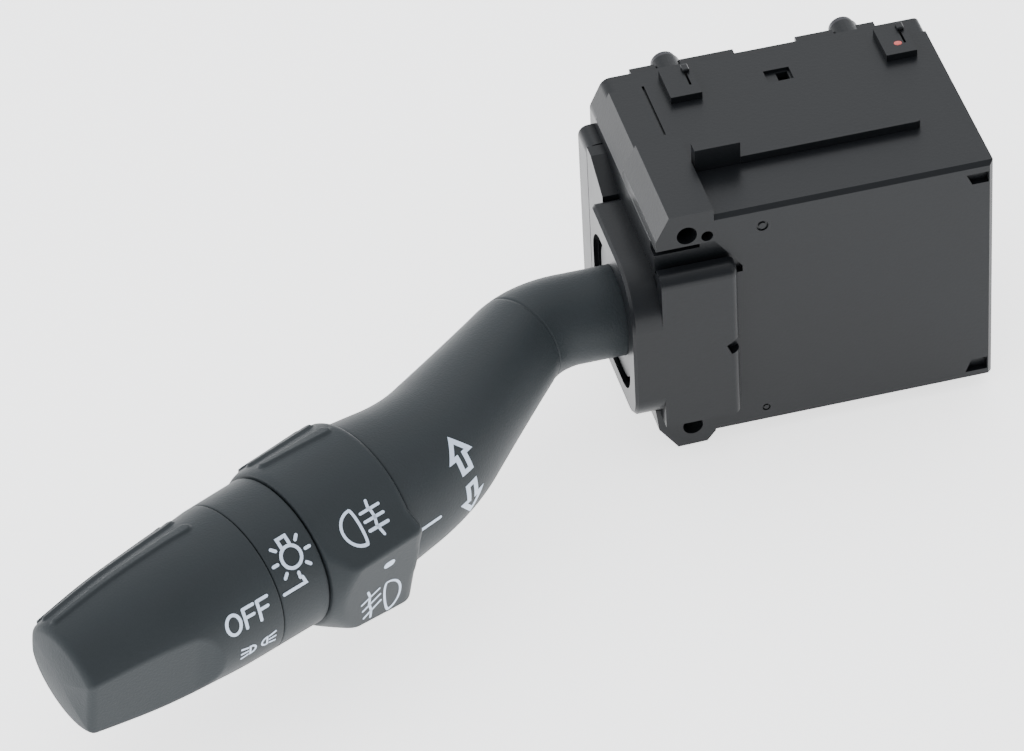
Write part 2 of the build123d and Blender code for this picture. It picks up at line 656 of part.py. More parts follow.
# ============================== Lever body ==============================
neck_end = -4.8
tongue_end = 11.4
tongue_half_y = 4.5
tongue_half_z = 5.0
plug_at = 4.9  # where the stem's plug starts inside the lever, along the outer axis
plug_r = 8.0
cable_r = 1.4
cable_x = -7.0
swell_from = -20.0
sections = 8
shoulder = elbow + reach * shoulder_at
with BuildLine(Plane.XY.offset(lever_z)) as spine:
    FilletPolyline((swell_from + 2.5, neck_y), (-first_bend, neck_y), (-second_bend, second_bend_y),
                   (shoulder.X, shoulder.Y), radius=(first_bend_r, second_bend_r))
with BuildLine(Plane.XY.offset(lever_z)) as cable_path:
    FilletPolyline((cable_x, neck_y), (-first_bend, neck_y), (-second_bend, second_bend_y),
                   (shoulder.X, shoulder.Y), radius=(first_bend_r, second_bend_r))
curve = spine.wires()[0]

with BuildPart() as lever_body:
    for i in range(sections + 1):
        share = i / sections
        radius = neck_r + (shoulder_r - neck_r) * share**swell
        with BuildSketch(Plane(origin=curve @ share, x_dir=(0, 0, 1), z_dir=curve % share)):
            Circle(radius)
    loft()
    rod((neck_end, neck_y, lever_z), (swell_from + 2.5, neck_y, lever_z), neck_r)
    # Tongue on the dimmer pin and tail with the plunger bore and the slider's drive pin.
    block((neck_end - 0.5, tongue_end), (neck_y - tongue_half_y, neck_y + tongue_half_y),
          (lever_z - tongue_half_z, lever_z + tongue_half_z))
    block((tongue_end - 1, tail_end), (neck_y - tail_half_y, neck_y + tail_half_y),
          (lever_z - tail_half_z, lever_z + tail_half_z))
    rod((slider_hole_x, neck_y, lever_z + tail_half_z - 0.2), (slider_hole_x, neck_y, lever_z + 6.0), 1.2)
    rod((dimmer_x, neck_y, lever_z - 9), (dimmer_x, neck_y, lever_z + 9), dimmer_pin_r + running,
        Mode.SUBTRACT)
    rod((tail_end - 6.2, neck_y, lever_z), (tail_end, neck_y, lever_z), nose + running, Mode.SUBTRACT)
    # Socket for the stem, and the cable way down through the neck.
    revolve(turned((plug_at, 0), (plug_at, plug_r + seat), (shoulder_at, plug_r + seat),
                   (shoulder_at, 0)), axis=reach_axis, mode=Mode.SUBTRACT)
    with BuildSketch(Plane(origin=(cable_x, neck_y, lever_z), z_dir=(-1, 0, 0))):
        Circle(cable_r + gap)
    sweep(path=cable_path.wires()[0], mode=Mode.SUBTRACT)
    rod((cable_x, neck_y, lever_z - neck_r - 1), (cable_x, neck_y, lever_z), cable_r + gap, Mode.SUBTRACT)
    with Locations((cable_x, neck_y, lever_z)):
        Sphere(cable_r + gap, mode=Mode.SUBTRACT)
save(lever_body, "lever_body")

with BuildPart() as lever_cable:
    with BuildSketch(Plane(origin=(cable_x, neck_y, lever_z), z_dir=(-1, 0, 0))):
        Circle(cable_r)
    sweep(path=cable_path.wires()[0])
    rod((cable_x, neck_y, lever_z - neck_r - 1.5), (cable_x, neck_y, lever_z), cable_r)
    with Locations((cable_x, neck_y, lever_z)):
        Sphere(cable_r)
save(lever_cable, "lever_cable")

with BuildPart() as neck_shield:
    with BuildSketch(Plane(origin=(-9.6, 0, 0), x_dir=(0, 1, 0), z_dir=(1, 0, 0))):
        with Locations((neck_y, (shield_top + shield_low) / 2)):
            RectangleRounded(2 * shield_half, shield_top - shield_low, 5.0)
        with Locations((neck_y, lever_z)):
            Circle(neck_r + running, mode=Mode.SUBTRACT)
    extrude(amount=1.0)
save(neck_shield, "neck_shield")

dimmer_plunger = plunger(dimmer_tip, plunger_length, plunger_hollow)
save(dimmer_plunger, "dimmer_plunger")

with BuildPart() as dimmer_spring:
    start = tail_end - 6.2 + spring_wire + 0.02
    finish = dimmer_tip - plunger_length + plunger_hollow - plunger_travel - spring_wire - 0.05
    add(coil((start, neck_y, lever_z), (1, 0, 0), finish - start, spring_r, spring_wire, spring_turns))
save(dimmer_spring, "dimmer_spring")

# ============================== Stem, fog collar and its contacts ==============================
clip_bore_r = 4.9
clip_step = index_at
ball_r = 1.5
ball_at = 15.5
ball_centre = 8.2
fog_ring_r = 8.2
pocket_r = 12.6
pocket_at = (18.0, 24.0)
with BuildPart() as collar_stem:
    revolve(turned((plug_at + seat, clip_bore_r), (plug_at + seat, plug_r), (shoulder_at, plug_r),
                   (shoulder_at, bearing_r), (pocket_at[0] + 0.5, bearing_r),
                   (pocket_at[0] + 0.5, fog_ring_r), (pocket_at[1] - 0.5, fog_ring_r),
                   (pocket_at[1] - 0.5, bearing_r), (index_at - gap / 2, bearing_r),
                   (index_at - gap / 2, stem_r), (stem_end, stem_r), (stem_end, shaft_r + running),
                   (clip_step, shaft_r + running), (clip_step, clip_bore_r)), axis=reach_axis)
    place = elbow + reach * ball_at
    rod((place.X, place.Y, lever_z + ball_centre - ball_r), (place.X, place.Y, lever_z + bearing_r + 1),
        ball_r + running, Mode.SUBTRACT)
save(collar_stem, "collar_stem")

with BuildPart() as fog_detent_ball:
    with Locations((place.X, place.Y, lever_z + ball_centre)):
        Sphere(ball_r)
save(fog_detent_ball, "fog_detent_ball")

with BuildPart() as fog_contact_ring:
    revolve(turned((pocket_at[0] + 0.55, fog_ring_r + 0.02), (pocket_at[0] + 0.55, bearing_r - running),
                   (pocket_at[1] - 0.55, bearing_r - running), (pocket_at[1] - 0.55, fog_ring_r + 0.02)),
            axis=reach_axis)
save(fog_contact_ring, "fog_contact_ring")

collar_nose_r = 13.5
collar_nose = 7.1
collar_r = 18.5
collar_shift = polar(0.35, 150)  # the round body's centre, off the turning axis
track_r = ball_centre + ball_r + gap
pad_turn = 137.0  # middle of the raised finger pads, above the driver's horizontal
pad_width = 10.8


def touching(point, radius, side):
    """Where a line from the point touches the collar's round body, on its upper (1) or lower (-1) side."""
    away = point - collar_shift
    turn = degrees(atan2(away.Y, away.X)) + side * degrees(acos(radius / away.length))
    return collar_shift + polar(radius, turn)


def collar_form(extra):
    """The collar's round body with its two-cornered finger lobe, grown by the extra radius."""
    with BuildPart() as form:
        for i, distance in enumerate((collar_at, collar_at + collar_length)):
            radius = collar_body_r[i] + extra
            ridge = polar(collar_ridge[i][0] + extra, collar_ridge[i][1])
            corner = polar(collar_corner[i][0] + extra, collar_corner[i][1])
            first, last = touching(ridge, radius, 1), touching(corner, radius, -1)
            with BuildSketch(across(distance)):
                with BuildLine():
                    Polyline(last, corner, ridge, first)
                    ThreePointArc(first, collar_shift + polar(radius, 160), last)
                make_face()
        loft(ruled=True)
    return form.part


def pad_prism(start, end):
    """Round-ended prism that cuts a raised pad, from one distance to another on the outer axis."""
    middle = (start + end) / 2
    outward = across(0).x_dir * cos(radians(pad_turn)) + Vector(0, 0, 1) * sin(radians(pad_turn))
    with BuildPart() as prism:
        with BuildSketch(Plane(origin=elbow + reach * middle, x_dir=reach, z_dir=outward)):
            RectangleRounded(end - start, pad_width, 2.5)
        extrude(amount=collar_r)
    return prism.part


def from_axis(edge):
    """Distance of an edge's middle from the outer axis."""
    arm = edge.center() - elbow
    return (arm - reach * arm.dot(reach)).length


with BuildPart() as fog_collar:
    add(collar_form(0))
    fillet(fog_collar.edges().filter_by(
        lambda edge: abs((edge % 0.5).dot(reach)) > 0.9 and from_axis(edge) > 15.5), 1.0)
    chamfer(fog_collar.faces().sort_by(Axis(elbow, reach))[0].edges(), 0.7)
    add(collar_form(grip_rise).intersect(pad_prism(collar_at + 1.5, collar_at + collar_length - 1.6)))
    revolve(turned((collar_at, 0), (collar_at, collar_r),
                   (collar_at + collar_length - collar_nose, collar_r),
                   (collar_at + collar_length, collar_nose_r), (collar_at + collar_length, 0)),
            axis=reach_axis, mode=Mode.INTERSECT)
    revolve(turned((collar_at, 0), (collar_at, bearing_r + running), (ball_at - 1.6, bearing_r + running),
                   (ball_at - 1.6, track_r), (ball_at + 1.6, track_r), (ball_at + 1.6, bearing_r + running),
                   (pocket_at[0], bearing_r + running), (pocket_at[0], pocket_r),
                   (pocket_at[1], pocket_r), (pocket_at[1], bearing_r + running),
                   (collar_at + collar_length, bearing_r + running), (collar_at + collar_length, 0)),
            axis=reach_axis, mode=Mode.SUBTRACT)
    for turn in (-fog_limit, 0, fog_limit):
        with Locations(across(ball_at) * Location((0, 0, 0), (0, 0, turn)) * Location((0, 0, 0), (-90, 0, 0))):
            Cylinder(ball_r, track_r + notch_depth, align=(Align.CENTER, Align.CENTER, Align.MIN),
                     mode=Mode.SUBTRACT)
save(fog_collar, "fog_collar")

with BuildPart() as fog_wiper:
    revolve(turned((20.7, bearing_r), (20.7, pocket_r - running), (21.2, pocket_r - running),
                   (21.2, bearing_r)), axis=reach_axis)
save(fog_wiper, "fog_wiper")

# ============================== Index ring and light switch ==============================
rim_cut = 0.25
with BuildPart() as index_ring:
    revolve(turned((index_at, stem_r + running), (index_at, index_r - rim_cut),
                   (index_at + rim_cut, index_r), (index_end - rim_cut, index_r),
                   (index_end, index_r - rim_cut), (index_end, index_r - 2), (index_at + 2, index_r - 2),
                   (index_at + 2, stem_r + 1.6), (index_end, stem_r + 1.6),
                   (index_end, stem_r + running)), axis=reach_axis)
save(index_ring, "index_ring")

with BuildPart() as light_switch_base:
    revolve(turned((knob_at + 0.1, stem_r + running), (knob_at + 0.1, 9.6), (stem_end - 0.1, 9.6),
                   (stem_end - 0.1, stem_r + running)), axis=reach_axis)
save(light_switch_base, "light_switch_base")

flange_at = stem_end + 1.1
flange_end = flange_at + 1.8
hub_r = 5.0
hub_end = 58.0
clip_at = (index_at - 1.0, index_at - gap)
clip_groove_r = 2.8
with BuildPart() as knob_rotor:
    revolve(turned((clip_at[0] - 1.1, 0), (clip_at[0] - 1.1, shaft_r), (clip_at[0] - running, shaft_r),
                   (clip_at[0] - running, clip_groove_r), (clip_at[1] + running, clip_groove_r),
                   (clip_at[1] + running, shaft_r), (flange_at, shaft_r), (flange_at, 9.0),
                   (flange_end, 9.0), (flange_end, hub_r), (hub_end, hub_r), (hub_end, 0)),
            axis=reach_axis)
save(knob_rotor, "knob_rotor")

with BuildPart() as retaining_clip:
    with BuildSketch(across(clip_at[0])):
        Circle(4.6)
        Circle(clip_groove_r + running, mode=Mode.SUBTRACT)
        with Locations((0, -3.6)):
            Rectangle(3.0, 4.0, mode=Mode.SUBTRACT)
    extrude(amount=clip_at[1] - clip_at[0])
save(retaining_clip, "retaining_clip")

with BuildPart() as knob_wiper:
    with BuildSketch(across(flange_at - 0.4)):
        Circle(8.6)
        Circle(6.4, mode=Mode.SUBTRACT)
    extrude(amount=0.4)
    with BuildSketch(across(stem_end)):
        with PolarLocations(7.5, 3, start_angle=90):
            Circle(0.5)
    extrude(amount=flange_at - stem_end - 0.2)
save(knob_wiper, "knob_wiper")

# ============================== Light knob ==============================
facet_turn = -9.0  # of the first finger facet, above the driver's horizontal; the other lies opposite
knob_shape = (
    (knob_at, knob_r, knob_r - 0.01), (knob_at + 5, 12.8, 12.75), (knob_at + 10, 12.5, 12.35),
    (knob_at + 21, 11.6, 10.2), (knob_end, knob_tip_long, knob_tip_short),
)
facet = ((49.8, 12.9), (51.6, 11.4), (54.5, 10.1), (knob_end + 1, 6.4))


def knob_form(extra):
    """The knob's round base drawn out to a flattened tip, grown by the extra radius."""
    with BuildPart() as form:
        for distance, long_r, short_r in knob_shape:
            with BuildSketch(across(distance)):
                Ellipse(long_r + extra, short_r + extra, rotation=pad_turn)
        loft()
    return form.part


with BuildPart() as headlight_knob:
    add(knob_form(0))
    chamfer(headlight_knob.faces().sort_by(Axis(elbow, reach))[-1].edges(), 0.7)
    add(knob_form(grip_rise).intersect(pad_prism(knob_at + 4.8, knob_end - 0.8)))
    # Finger facets on opposite sides of the tip.
    for turn in (facet_turn, facet_turn + 180):
        side = across(0).x_dir * cos(radians(turn)) + Vector(0, 0, 1) * sin(radians(turn))
        lying = Plane(origin=elbow, x_dir=reach, z_dir=reach.cross(side))
        with BuildSketch(lying.offset(-20)):
            with BuildLine():
                Polyline(*facet, (knob_end + 1, 20), (facet[0][0], 20), close=True)
            make_face()
        extrude(amount=40, mode=Mode.SUBTRACT)
    revolve(turned((knob_at, 0), (knob_at, 10.6), (49.5, 10.6), (49.5, hub_r + running),
                   (66.0, hub_r + running), (66.0, 0)), axis=reach_axis, mode=Mode.SUBTRACT)
save(headlight_knob, "headlight_knob")
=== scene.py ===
import math

import bmesh
import bpy
from mathutils import Matrix, Vector


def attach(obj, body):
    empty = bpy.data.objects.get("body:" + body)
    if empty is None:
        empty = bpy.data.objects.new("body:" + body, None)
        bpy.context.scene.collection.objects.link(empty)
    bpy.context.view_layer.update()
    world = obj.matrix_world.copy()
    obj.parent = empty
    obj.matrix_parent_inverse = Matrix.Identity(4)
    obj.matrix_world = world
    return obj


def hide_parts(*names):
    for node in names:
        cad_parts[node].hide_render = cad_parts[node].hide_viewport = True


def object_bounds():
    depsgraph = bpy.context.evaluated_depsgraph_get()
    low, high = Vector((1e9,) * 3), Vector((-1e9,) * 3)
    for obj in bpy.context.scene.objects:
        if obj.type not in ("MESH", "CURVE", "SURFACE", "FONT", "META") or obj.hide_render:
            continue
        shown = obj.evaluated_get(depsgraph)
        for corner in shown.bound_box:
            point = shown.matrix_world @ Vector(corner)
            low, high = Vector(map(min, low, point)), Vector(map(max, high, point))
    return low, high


bl_info = {
    "name": "Stalk switch builder",
    "version": (1, 0, 0),
    "blender": (4, 5, 0),
    "location": "View3D > Sidebar > Stalk switch",
    "description": "Dresses a combination stalk switch: cranked lever, fog collar, light knob and housing",
    "category": "Object",
}

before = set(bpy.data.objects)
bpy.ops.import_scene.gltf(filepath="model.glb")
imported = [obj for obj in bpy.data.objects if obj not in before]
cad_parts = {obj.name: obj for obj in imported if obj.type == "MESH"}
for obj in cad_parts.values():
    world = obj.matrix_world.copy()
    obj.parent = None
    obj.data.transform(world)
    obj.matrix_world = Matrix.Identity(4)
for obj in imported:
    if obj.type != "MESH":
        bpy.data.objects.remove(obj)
REST_BOUNDS = [list(corner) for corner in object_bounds()]

MM = 0.001
WELD = 0.0001 * MM  # points nearer than this are one point
UP = Vector((0.0, 0.0, 1.0))
SQUARE = ((-1, -1), (1, -1), (1, 1), (-1, 1))  # corners in turn, about the middle

# Lengths below are millimetres. Distances along the outer axis start at the elbow, and angles about
# it are measured upwards from the driver's horizontal.

# --- Lever ---
LEVER_Z = -1.5
NECK_Y = 10.9
NECK_R = 7.65
NECK_START = -17.5  # X where the neck starts to widen
NECK_HIDDEN = 10.0  # length of straight neck before it
ROOT_AT = -7.6  # X from which the lever's root is taken from the solid
BENDS = ((-24.2, NECK_Y, 15.5), (-49.9, -16.8, 36.0))  # X, Y and radius of the two bends
SHOULDER_R = 13.2
SHOULDER_AT = 12.5  # along the outer axis
SHOULDER_EDGE = 0.5  # radius of the shoulder's edge, and the least of the collar's rim beside it
SOCKET = (8.2, 5.0)  # radius and depth of the socket for the stem
SWELL = 1.25  # exponent of the growth from neck to shoulder
SEAM_AT = 10.0  # distance along the centre line of the fine seam where the lever's shells meet
SEAM_HALF = (0.06, 0.15)  # half the seam's width, at its floor and at its mouth
SEAM_DEPTH = 0.08
REACH_ANGLE = math.radians(26.6)
REACH = Vector((-math.cos(REACH_ANGLE), -math.sin(REACH_ANGLE), 0.0))
SIDE = UP.cross(REACH)  # points at the driver's side, square to the outer axis
ELBOW = Vector((BENDS[1][0], BENDS[1][1], LEVER_Z))

# --- Pieces on the outer axis ---
COLLAR = (12.55, 29.3)  # start and end
INDEX = (29.6, 38.7)
KNOB = (38.85, 72.5)
COLLAR_BORE = 9.05
INDEX_BORE = 7.6
KNOB_BORE = (5.1, 10.6, 10.0)  # radius of the shaft's hole, radius and depth of the hollow
FLAT_COS = 0.2  # flats and ribs end where the surface has turned away past this cosine
FINE_RIM = 0.3  # rounding where the collar and the ring meet
RIM_TILTS = range(0, 91, 15)  # degrees round a rim at which it has a ring of points
RING_SIDES = 160
LEVER_SIDES = 128
RIBBED_SIDES = 480  # of the pieces with grip ribs

# --- Fog collar ---
BODY_R = (14.1, 13.45)  # of the round body, at the lever's end and at the knob's end
BODY_SHIFT = (0.35, 150.0)  # radius and angle of its centre from the turning axis
RIDGE = ((16.4, 14.0), (16.1, 12.0))  # radius and angle of the finger lobe's edges at both ends
CORNER = ((18.1, -53.0), (16.85, -47.0))
LOBE_CREASE = 0.7  # width that the lobe's edges are rounded over
CONE = (13.5, 0.704, 0.9)  # radius at the ring, slope, and width that its edge is rounded over
COLLAR_RIM = 1.6  # rounding at the lever's end, where the collar stands well proud of the lever
LEAN = 0.9  # how far the lobe's end leans over the lever
LEAN_ANGLES = (-80.0, -60.0, 10.0, 28.0)  # it grows between the first two and fades between the others
LEAN_PROUD = (0.2, 0.8)  # height over the shoulder where the lean starts, and that it grows over
LEAN_LENGTH = 3.0  # that it fades out over, along the collar

# --- Index ring ---
INDEX_R = 13.0
INDEX_TAPER = 0.1

# --- Light knob ---
KNOB_STATIONS = (  # distance, long radius, short radius
    (38.85, 12.9, 12.9), (44.5, 12.8, 12.75), (49.5, 12.5, 12.35), (60.5, 11.6, 10.2), (72.5, 9.9, 7.3),
)
FACET_STATIONS = ((48.0, 14.0), (49.8, 12.9), (51.6, 11.4), (54.5, 10.1), (73.5, 6.4))  # distance, depth
FACETS = ((-9.0, 0.0), (171.0, 2.0))  # direction of each finger facet, and how much higher it lies
FACET_CREASE = 0.35
KNOB_RIM = 0.15
TIP_RIM = 1.3
TIP_BULGE = 0.6

# --- Grip ribs on the collar and the knob ---
GRIP_TURN = math.radians(137.0)  # middle of the ribs, and the long way of the knob's flat tip
GRIP_RISE = 0.45
GRIP_RIBS = 4
GRIP_FLANK = 0.4  # width of a rib's rounded side
GRIP_HOLLOW = (40.0, 6.0)  # where the knob starts to fall back under its ribs, and over what length
COLLAR_GRIP = (14.2, 27.6, 8.4, 6.2)  # start, end, and half the width of the ribbed strip at each
KNOB_GRIP = (43.7, 71.0, 8.2, 4.5)

# --- Housing ---
LATCH_STOPS = (10.4, 47.6)  # X of the stop behind each latch
STOP_Y = 37.3
STOP_HALF = (0.6, 0.9)  # half its size along X and Y
STOP_Z = (24.2, 24.95)
DAB_AT = (46.1, 33.3)  # X and Y of the dab of paint
DAB_OVAL = 0.85  # its size along Y as a share of that along X
DAB_RINGS = ((0.68, 24.25), (0.68, 24.31), (0.5, 24.35), (0.05, 24.36))  # radius and Z

# --- Print ---
PRINT_STEP = 0.4  # spacing of a line's points
PRINT_SINK = 0.1  # how far the ink reaches into the plastic
CAP_TILTS = (0.5, 0.9, 1.25, 1.5)  # radians round a line's end
MITRE_COS = 0.5  # a sharper corner gets no longer a mitre than this
OVAL_STEP = 12  # degrees between an oval's points
MARK_LINE = 0.54  # width of the lines that symbols point at

# --- Studio, in metres ---
FLOOR_HALF = 6.0
FLOOR_GAP = 0.0005  # keeps the floor clear of the lowest piece
SKY_DARK_WAY = (0.5, -0.85, 0.15)  # direction in which the surroundings are darkest
SKY_FADE = (0.25, 0.95)  # cosines to that direction where the fade starts and ends
LAMP_TARGET = Vector((-0.03, 0.0, 0.0))
LAMPS = (  # name, place, size, watts
    ("top_lamp", (0.1, 0.35, 0.9), 0.9, 1.5),
    ("left_lamp", (-0.9, 0.2, 0.35), 0.7, 1.5),
    ("back_lamp", (0.2, 1.0, 0.45), 0.8, 0.5),
    ("fill_lamp", (0.7, -0.6, 0.5), 0.6, 1.0),
)
CAMERA_AT = Vector((-190.14, -723.73, 629.58)) * MM
CAMERA_RIGHT = Vector((0.9666, -0.2525, -0.0446))
CAMERA_DOWN = Vector((-0.1969, -0.6193, -0.7601))
CAMERA_AHEAD = Vector((0.1643, 0.7434, -0.6483))
CAMERA_LENS = 210.16  # mm
CAMERA_SENSOR = 36.0  # mm


# ------------------------------------------------------------------ shape functions

def clamp(share):
    """A share kept between 0 and 1."""
    return min(max(share, 0.0), 1.0)


def bent_path():
    """Runs of the lever's centre line.

    A straight run is ("line", start, way, length) and a bend is ("arc", centre, spoke, length, turn),
    where the spoke points from the centre to the bend's start and the turn is in radians per mm.
    """
    start = Vector((NECK_START, NECK_Y, LEVER_Z))
    end = ELBOW + REACH * SHOULDER_AT
    corners = [start] + [Vector((x, y, LEVER_Z)) for x, y, _ in BENDS] + [end]
    runs = []
    here = start
    for i, (_, _, radius) in enumerate(BENDS, 1):
        into = (corners[i] - corners[i - 1]).normalized()
        out = (corners[i + 1] - corners[i]).normalized()
        angle = into.angle(out)
        cut = radius * math.tan(angle / 2)
        stop = corners[i] - into * cut
        runs.append(("line", here, into, (stop - here).length))
        turn = 1.0 if into.cross(out).z > 0 else -1.0
        centre = stop + UP.cross(into) * radius * turn
        runs.append(("arc", centre, stop - centre, radius * angle, turn / radius))
        here = corners[i] + out * cut
    out = (end - here).normalized()
    runs.append(("line", here, out, (end - here).length))
    return runs


PATH = bent_path()
PATH_LENGTH = sum(run[3] for run in PATH)


def on_path(distance):
    """Point and direction of the lever's centre line at a distance from where it starts to widen."""
    if distance <= 0:
        return PATH[0][1] + PATH[0][2] * distance, PATH[0][2]
    for run in PATH:
        if distance <= run[3] or run is PATH[-1]:
            if run[0] == "line":
                return run[1] + run[2] * distance, run[2]
            spoke = Matrix.Rotation(distance * run[4], 3, "Z") @ run[2]
            return run[1] + spoke, UP.cross(spoke).normalized() * math.copysign(1.0, run[4])
        distance -= run[3]


def lever_radius(distance):
    """Radius of the lever body."""
    share = clamp(distance / PATH_LENGTH)
    return NECK_R + (SHOULDER_R - NECK_R) * share**SWELL


def lever_point(distance, angle, lift):
    """Point at a height over the lever body."""
    middle, along = on_path(distance)
    side = UP.cross(along)
    radius = lever_radius(distance) + lift
    return middle + (side * math.cos(angle) + UP * math.sin(angle)) * radius


def soft_least(a, b, width):
    """The smaller of two lengths, with the crease between them rounded over the given width."""
    share = clamp(0.5 + 0.5 * (b - a) / width)
    return b + (a - b) * share - width * share * (1 - share)


def axis_point(distance, angle, radius):
    """Point at a distance along the outer axis, an angle about it and a radius."""
    return ELBOW + REACH * distance + (SIDE * math.cos(angle) + UP * math.sin(angle)) * radius


def spot(radius, degrees_up):
    """Point of a cross-section at a radius and an angle in degrees."""
    turn = math.radians(degrees_up)
    return Vector((radius * math.cos(turn), radius * math.sin(turn)))


def grip_height(distance, angle, radius, strip):
    """Height of the round-ended ribs that run along the upper edge within a tapering strip."""
    start, end, wide, narrow = strip
    turn = angle - GRIP_TURN
    if math.cos(turn) < FLAT_COS or not start <= distance <= end:
        return 0.0
    half = wide + (narrow - wide) * (distance - start) / (end - start)
    rib = 2 * half / (2 * GRIP_RIBS - 1)
    beyond = max(start + rib / 2 - distance, distance - end + rib / 2, 0.0)
    best = 0.0
    for i in range(GRIP_RIBS):
        sideways = radius * math.sin(turn) + half - rib * (2 * i + 0.5)
        share = clamp((rib / 2 - math.hypot(beyond, sideways)) / GRIP_FLANK)
        best = max(best, share * share * (3 - 2 * share))
    return best * GRIP_RISE


def collar_section(distance):
    """The round body's radius and centre, the lobe's flats as (depth, way) and the angles they span."""
    share = (distance - COLLAR[0]) / (COLLAR[1] - COLLAR[0])
    body = BODY_R[0] + (BODY_R[1] - BODY_R[0]) * share
    centre = spot(*BODY_SHIFT)
    ridge = spot(*RIDGE[0]).lerp(spot(*RIDGE[1]), share)
    corner = spot(*CORNER[0]).lerp(spot(*CORNER[1]), share)
    flats, limits = [], []
    for point, side in ((corner, -1), (ridge, 1)):
        away = point - centre
        turn = math.atan2(away.y, away.x) + side * math.acos(body / away.length)
        touch = centre + Vector((math.cos(turn), math.sin(turn))) * body
        flats.append((touch.x * math.cos(turn) + touch.y * math.sin(turn), turn))
        limits.append(math.atan2(touch.y, touch.x))
    turn = math.atan2(corner.x - ridge.x, ridge.y - corner.y)
    flats.append((ridge.x * math.cos(turn) + ridge.y * math.sin(turn), turn))
    return body, centre, flats, limits


def collar_radius(distance, angle):
    """Outer radius of the fog collar: round, with a two-cornered finger lobe and a cone at the ring."""
    body, centre, flats, limits = collar_section(distance)
    turn = (angle + math.pi) % (2 * math.pi) - math.pi
    if limits[0] % (-2 * math.pi) < turn < limits[1]:
        reaches = [depth / max(math.cos(turn - way), FLAT_COS) for depth, way in flats]
        radius = reaches[0]
        for reach in reaches[1:]:
            radius = soft_least(radius, reach, LOBE_CREASE)
    else:
        shift = centre.x * math.cos(turn) + centre.y * math.sin(turn)
        radius = shift + math.sqrt(body**2 - centre.length_squared + shift**2)
    cone_r, cone_slope, cone_crease = CONE
    radius = soft_least(radius, cone_r + (COLLAR[1] - distance) * cone_slope, cone_crease)
    radius += grip_height(distance, angle, radius, COLLAR_GRIP)
    rim = min(max(radius - SHOULDER_R, SHOULDER_EDGE), COLLAR_RIM)
    return radius - rounded_rim(distance - COLLAR[0], rim) - rounded_rim(COLLAR[1] - distance, FINE_RIM)


def rounded_rim(inward, radius):
    """How far a rim of the given radius falls back at a distance inward from the end face."""
    if inward >= radius:
        return 0.0
    return radius - math.sqrt(max(radius**2 - (radius - inward) ** 2, 0.0))


def index_radius(distance, angle):
    """Outer radius of the index ring, the same at every angle."""
    taper = INDEX_TAPER * (distance - INDEX[0]) / (INDEX[1] - INDEX[0])
    return (INDEX_R - taper - rounded_rim(distance - INDEX[0], FINE_RIM)
            - rounded_rim(INDEX[1] - distance, FINE_RIM))


def between(stations, distance):
    """Values at a distance, on a smooth curve through the stations."""
    if distance <= stations[0][0]:
        return stations[0][1:]
    for i in range(len(stations) - 1):
        a, b = stations[i], stations[i + 1]
        if distance <= b[0]:
            before = stations[max(i - 1, 0)]
            after = stations[min(i + 2, len(stations) - 1)]
            t = (distance - a[0]) / (b[0] - a[0])
            values = []
            for k in range(1, len(a)):
                slope_a = (b[k] - before[k]) / (b[0] - before[0]) * (b[0] - a[0])
                slope_b = (after[k] - a[k]) / (after[0] - a[0]) * (b[0] - a[0])
                values.append(
                    a[k] * (2 * t**3 - 3 * t**2 + 1) + slope_a * (t**3 - 2 * t**2 + t)
                    + b[k] * (3 * t**2 - 2 * t**3) + slope_b * (t**3 - t**2)
                )
            return tuple(values)
    return stations[-1][1:]


def knob_radius(distance, angle):
    """Outer radius of the light knob: round at the ring, a flattened paddle at the tip, two facets."""
    long_r, short_r = between(KNOB_STATIONS, distance)
    turn = angle - GRIP_TURN
    radius = long_r * short_r / math.hypot(short_r * math.cos(turn), long_r * math.sin(turn))
    hollow = clamp((distance - GRIP_HOLLOW[0]) / GRIP_HOLLOW[1]) * max(math.cos(turn), 0.0) ** 4
    radius -= GRIP_RISE * hollow
    (depth,) = between(FACET_STATIONS, distance)
    for middle, raised in FACETS:
        facing = math.cos(angle - math.radians(middle))
        if facing > FLAT_COS:
            radius = soft_least(radius, (depth + raised) / facing, FACET_CREASE)
    radius += grip_height(distance, angle, radius, KNOB_GRIP)
    return radius - rounded_rim(distance - KNOB[0], KNOB_RIM) - rounded_rim(KNOB[1] - distance, TIP_RIM)


# ------------------------------------------------------------------ mesh helpers

def new_object(name, data):
    """Object in the scene."""
    made = bpy.data.objects.new(name, data)
    bpy.context.scene.collection.objects.link(made)
    return made


def mesh_object(name, points, faces, smooth=True):
    """Object from points in millimetres."""
    mesh = bpy.data.meshes.new(name)
    mesh.from_pydata([tuple(point * MM) for point in points], [], faces)
    mesh.validate()
    piece = new_object(name, mesh)
    work = bmesh.new()
    work.from_mesh(mesh)
    bmesh.ops.remove_doubles(work, verts=work.verts, dist=WELD)
    bmesh.ops.recalc_face_normals(work, faces=work.faces)
    work.to_mesh(mesh)
    work.free()
    mesh.polygons.foreach_set("use_smooth", [smooth] * len(mesh.polygons))
    return piece


def ring_faces(rings, count, closed, first=0):
    """Faces that join rings of points in turn; the end rings are capped, or joined when closed."""
    faces = []
    for i in range(rings if closed else rings - 1):
        a, b = first + i * count, first + (i + 1) % rings * count
        for j in range(count):
            k = (j + 1) % count
            faces.append((a + j, a + k, b + k, b + j))
    if not closed:
        faces.append(tuple(range(first, first + count))[::-1])
        faces.append(tuple(range(first + (rings - 1) * count, first + rings * count)))
    return faces


def skin(name, rings, closed=False):
    """Smooth surface through rings of points."""
    points = [point for ring in rings for point in ring]
    return mesh_object(name, points, ring_faces(len(rings), len(rings[0]), closed))


def steps(start, end, spacing):
    """Evenly spaced values from start to end."""
    count = max(1, int(math.ceil(abs(end - start) / spacing)))
    return [start + (end - start) * i / count for i in range(count + 1)]


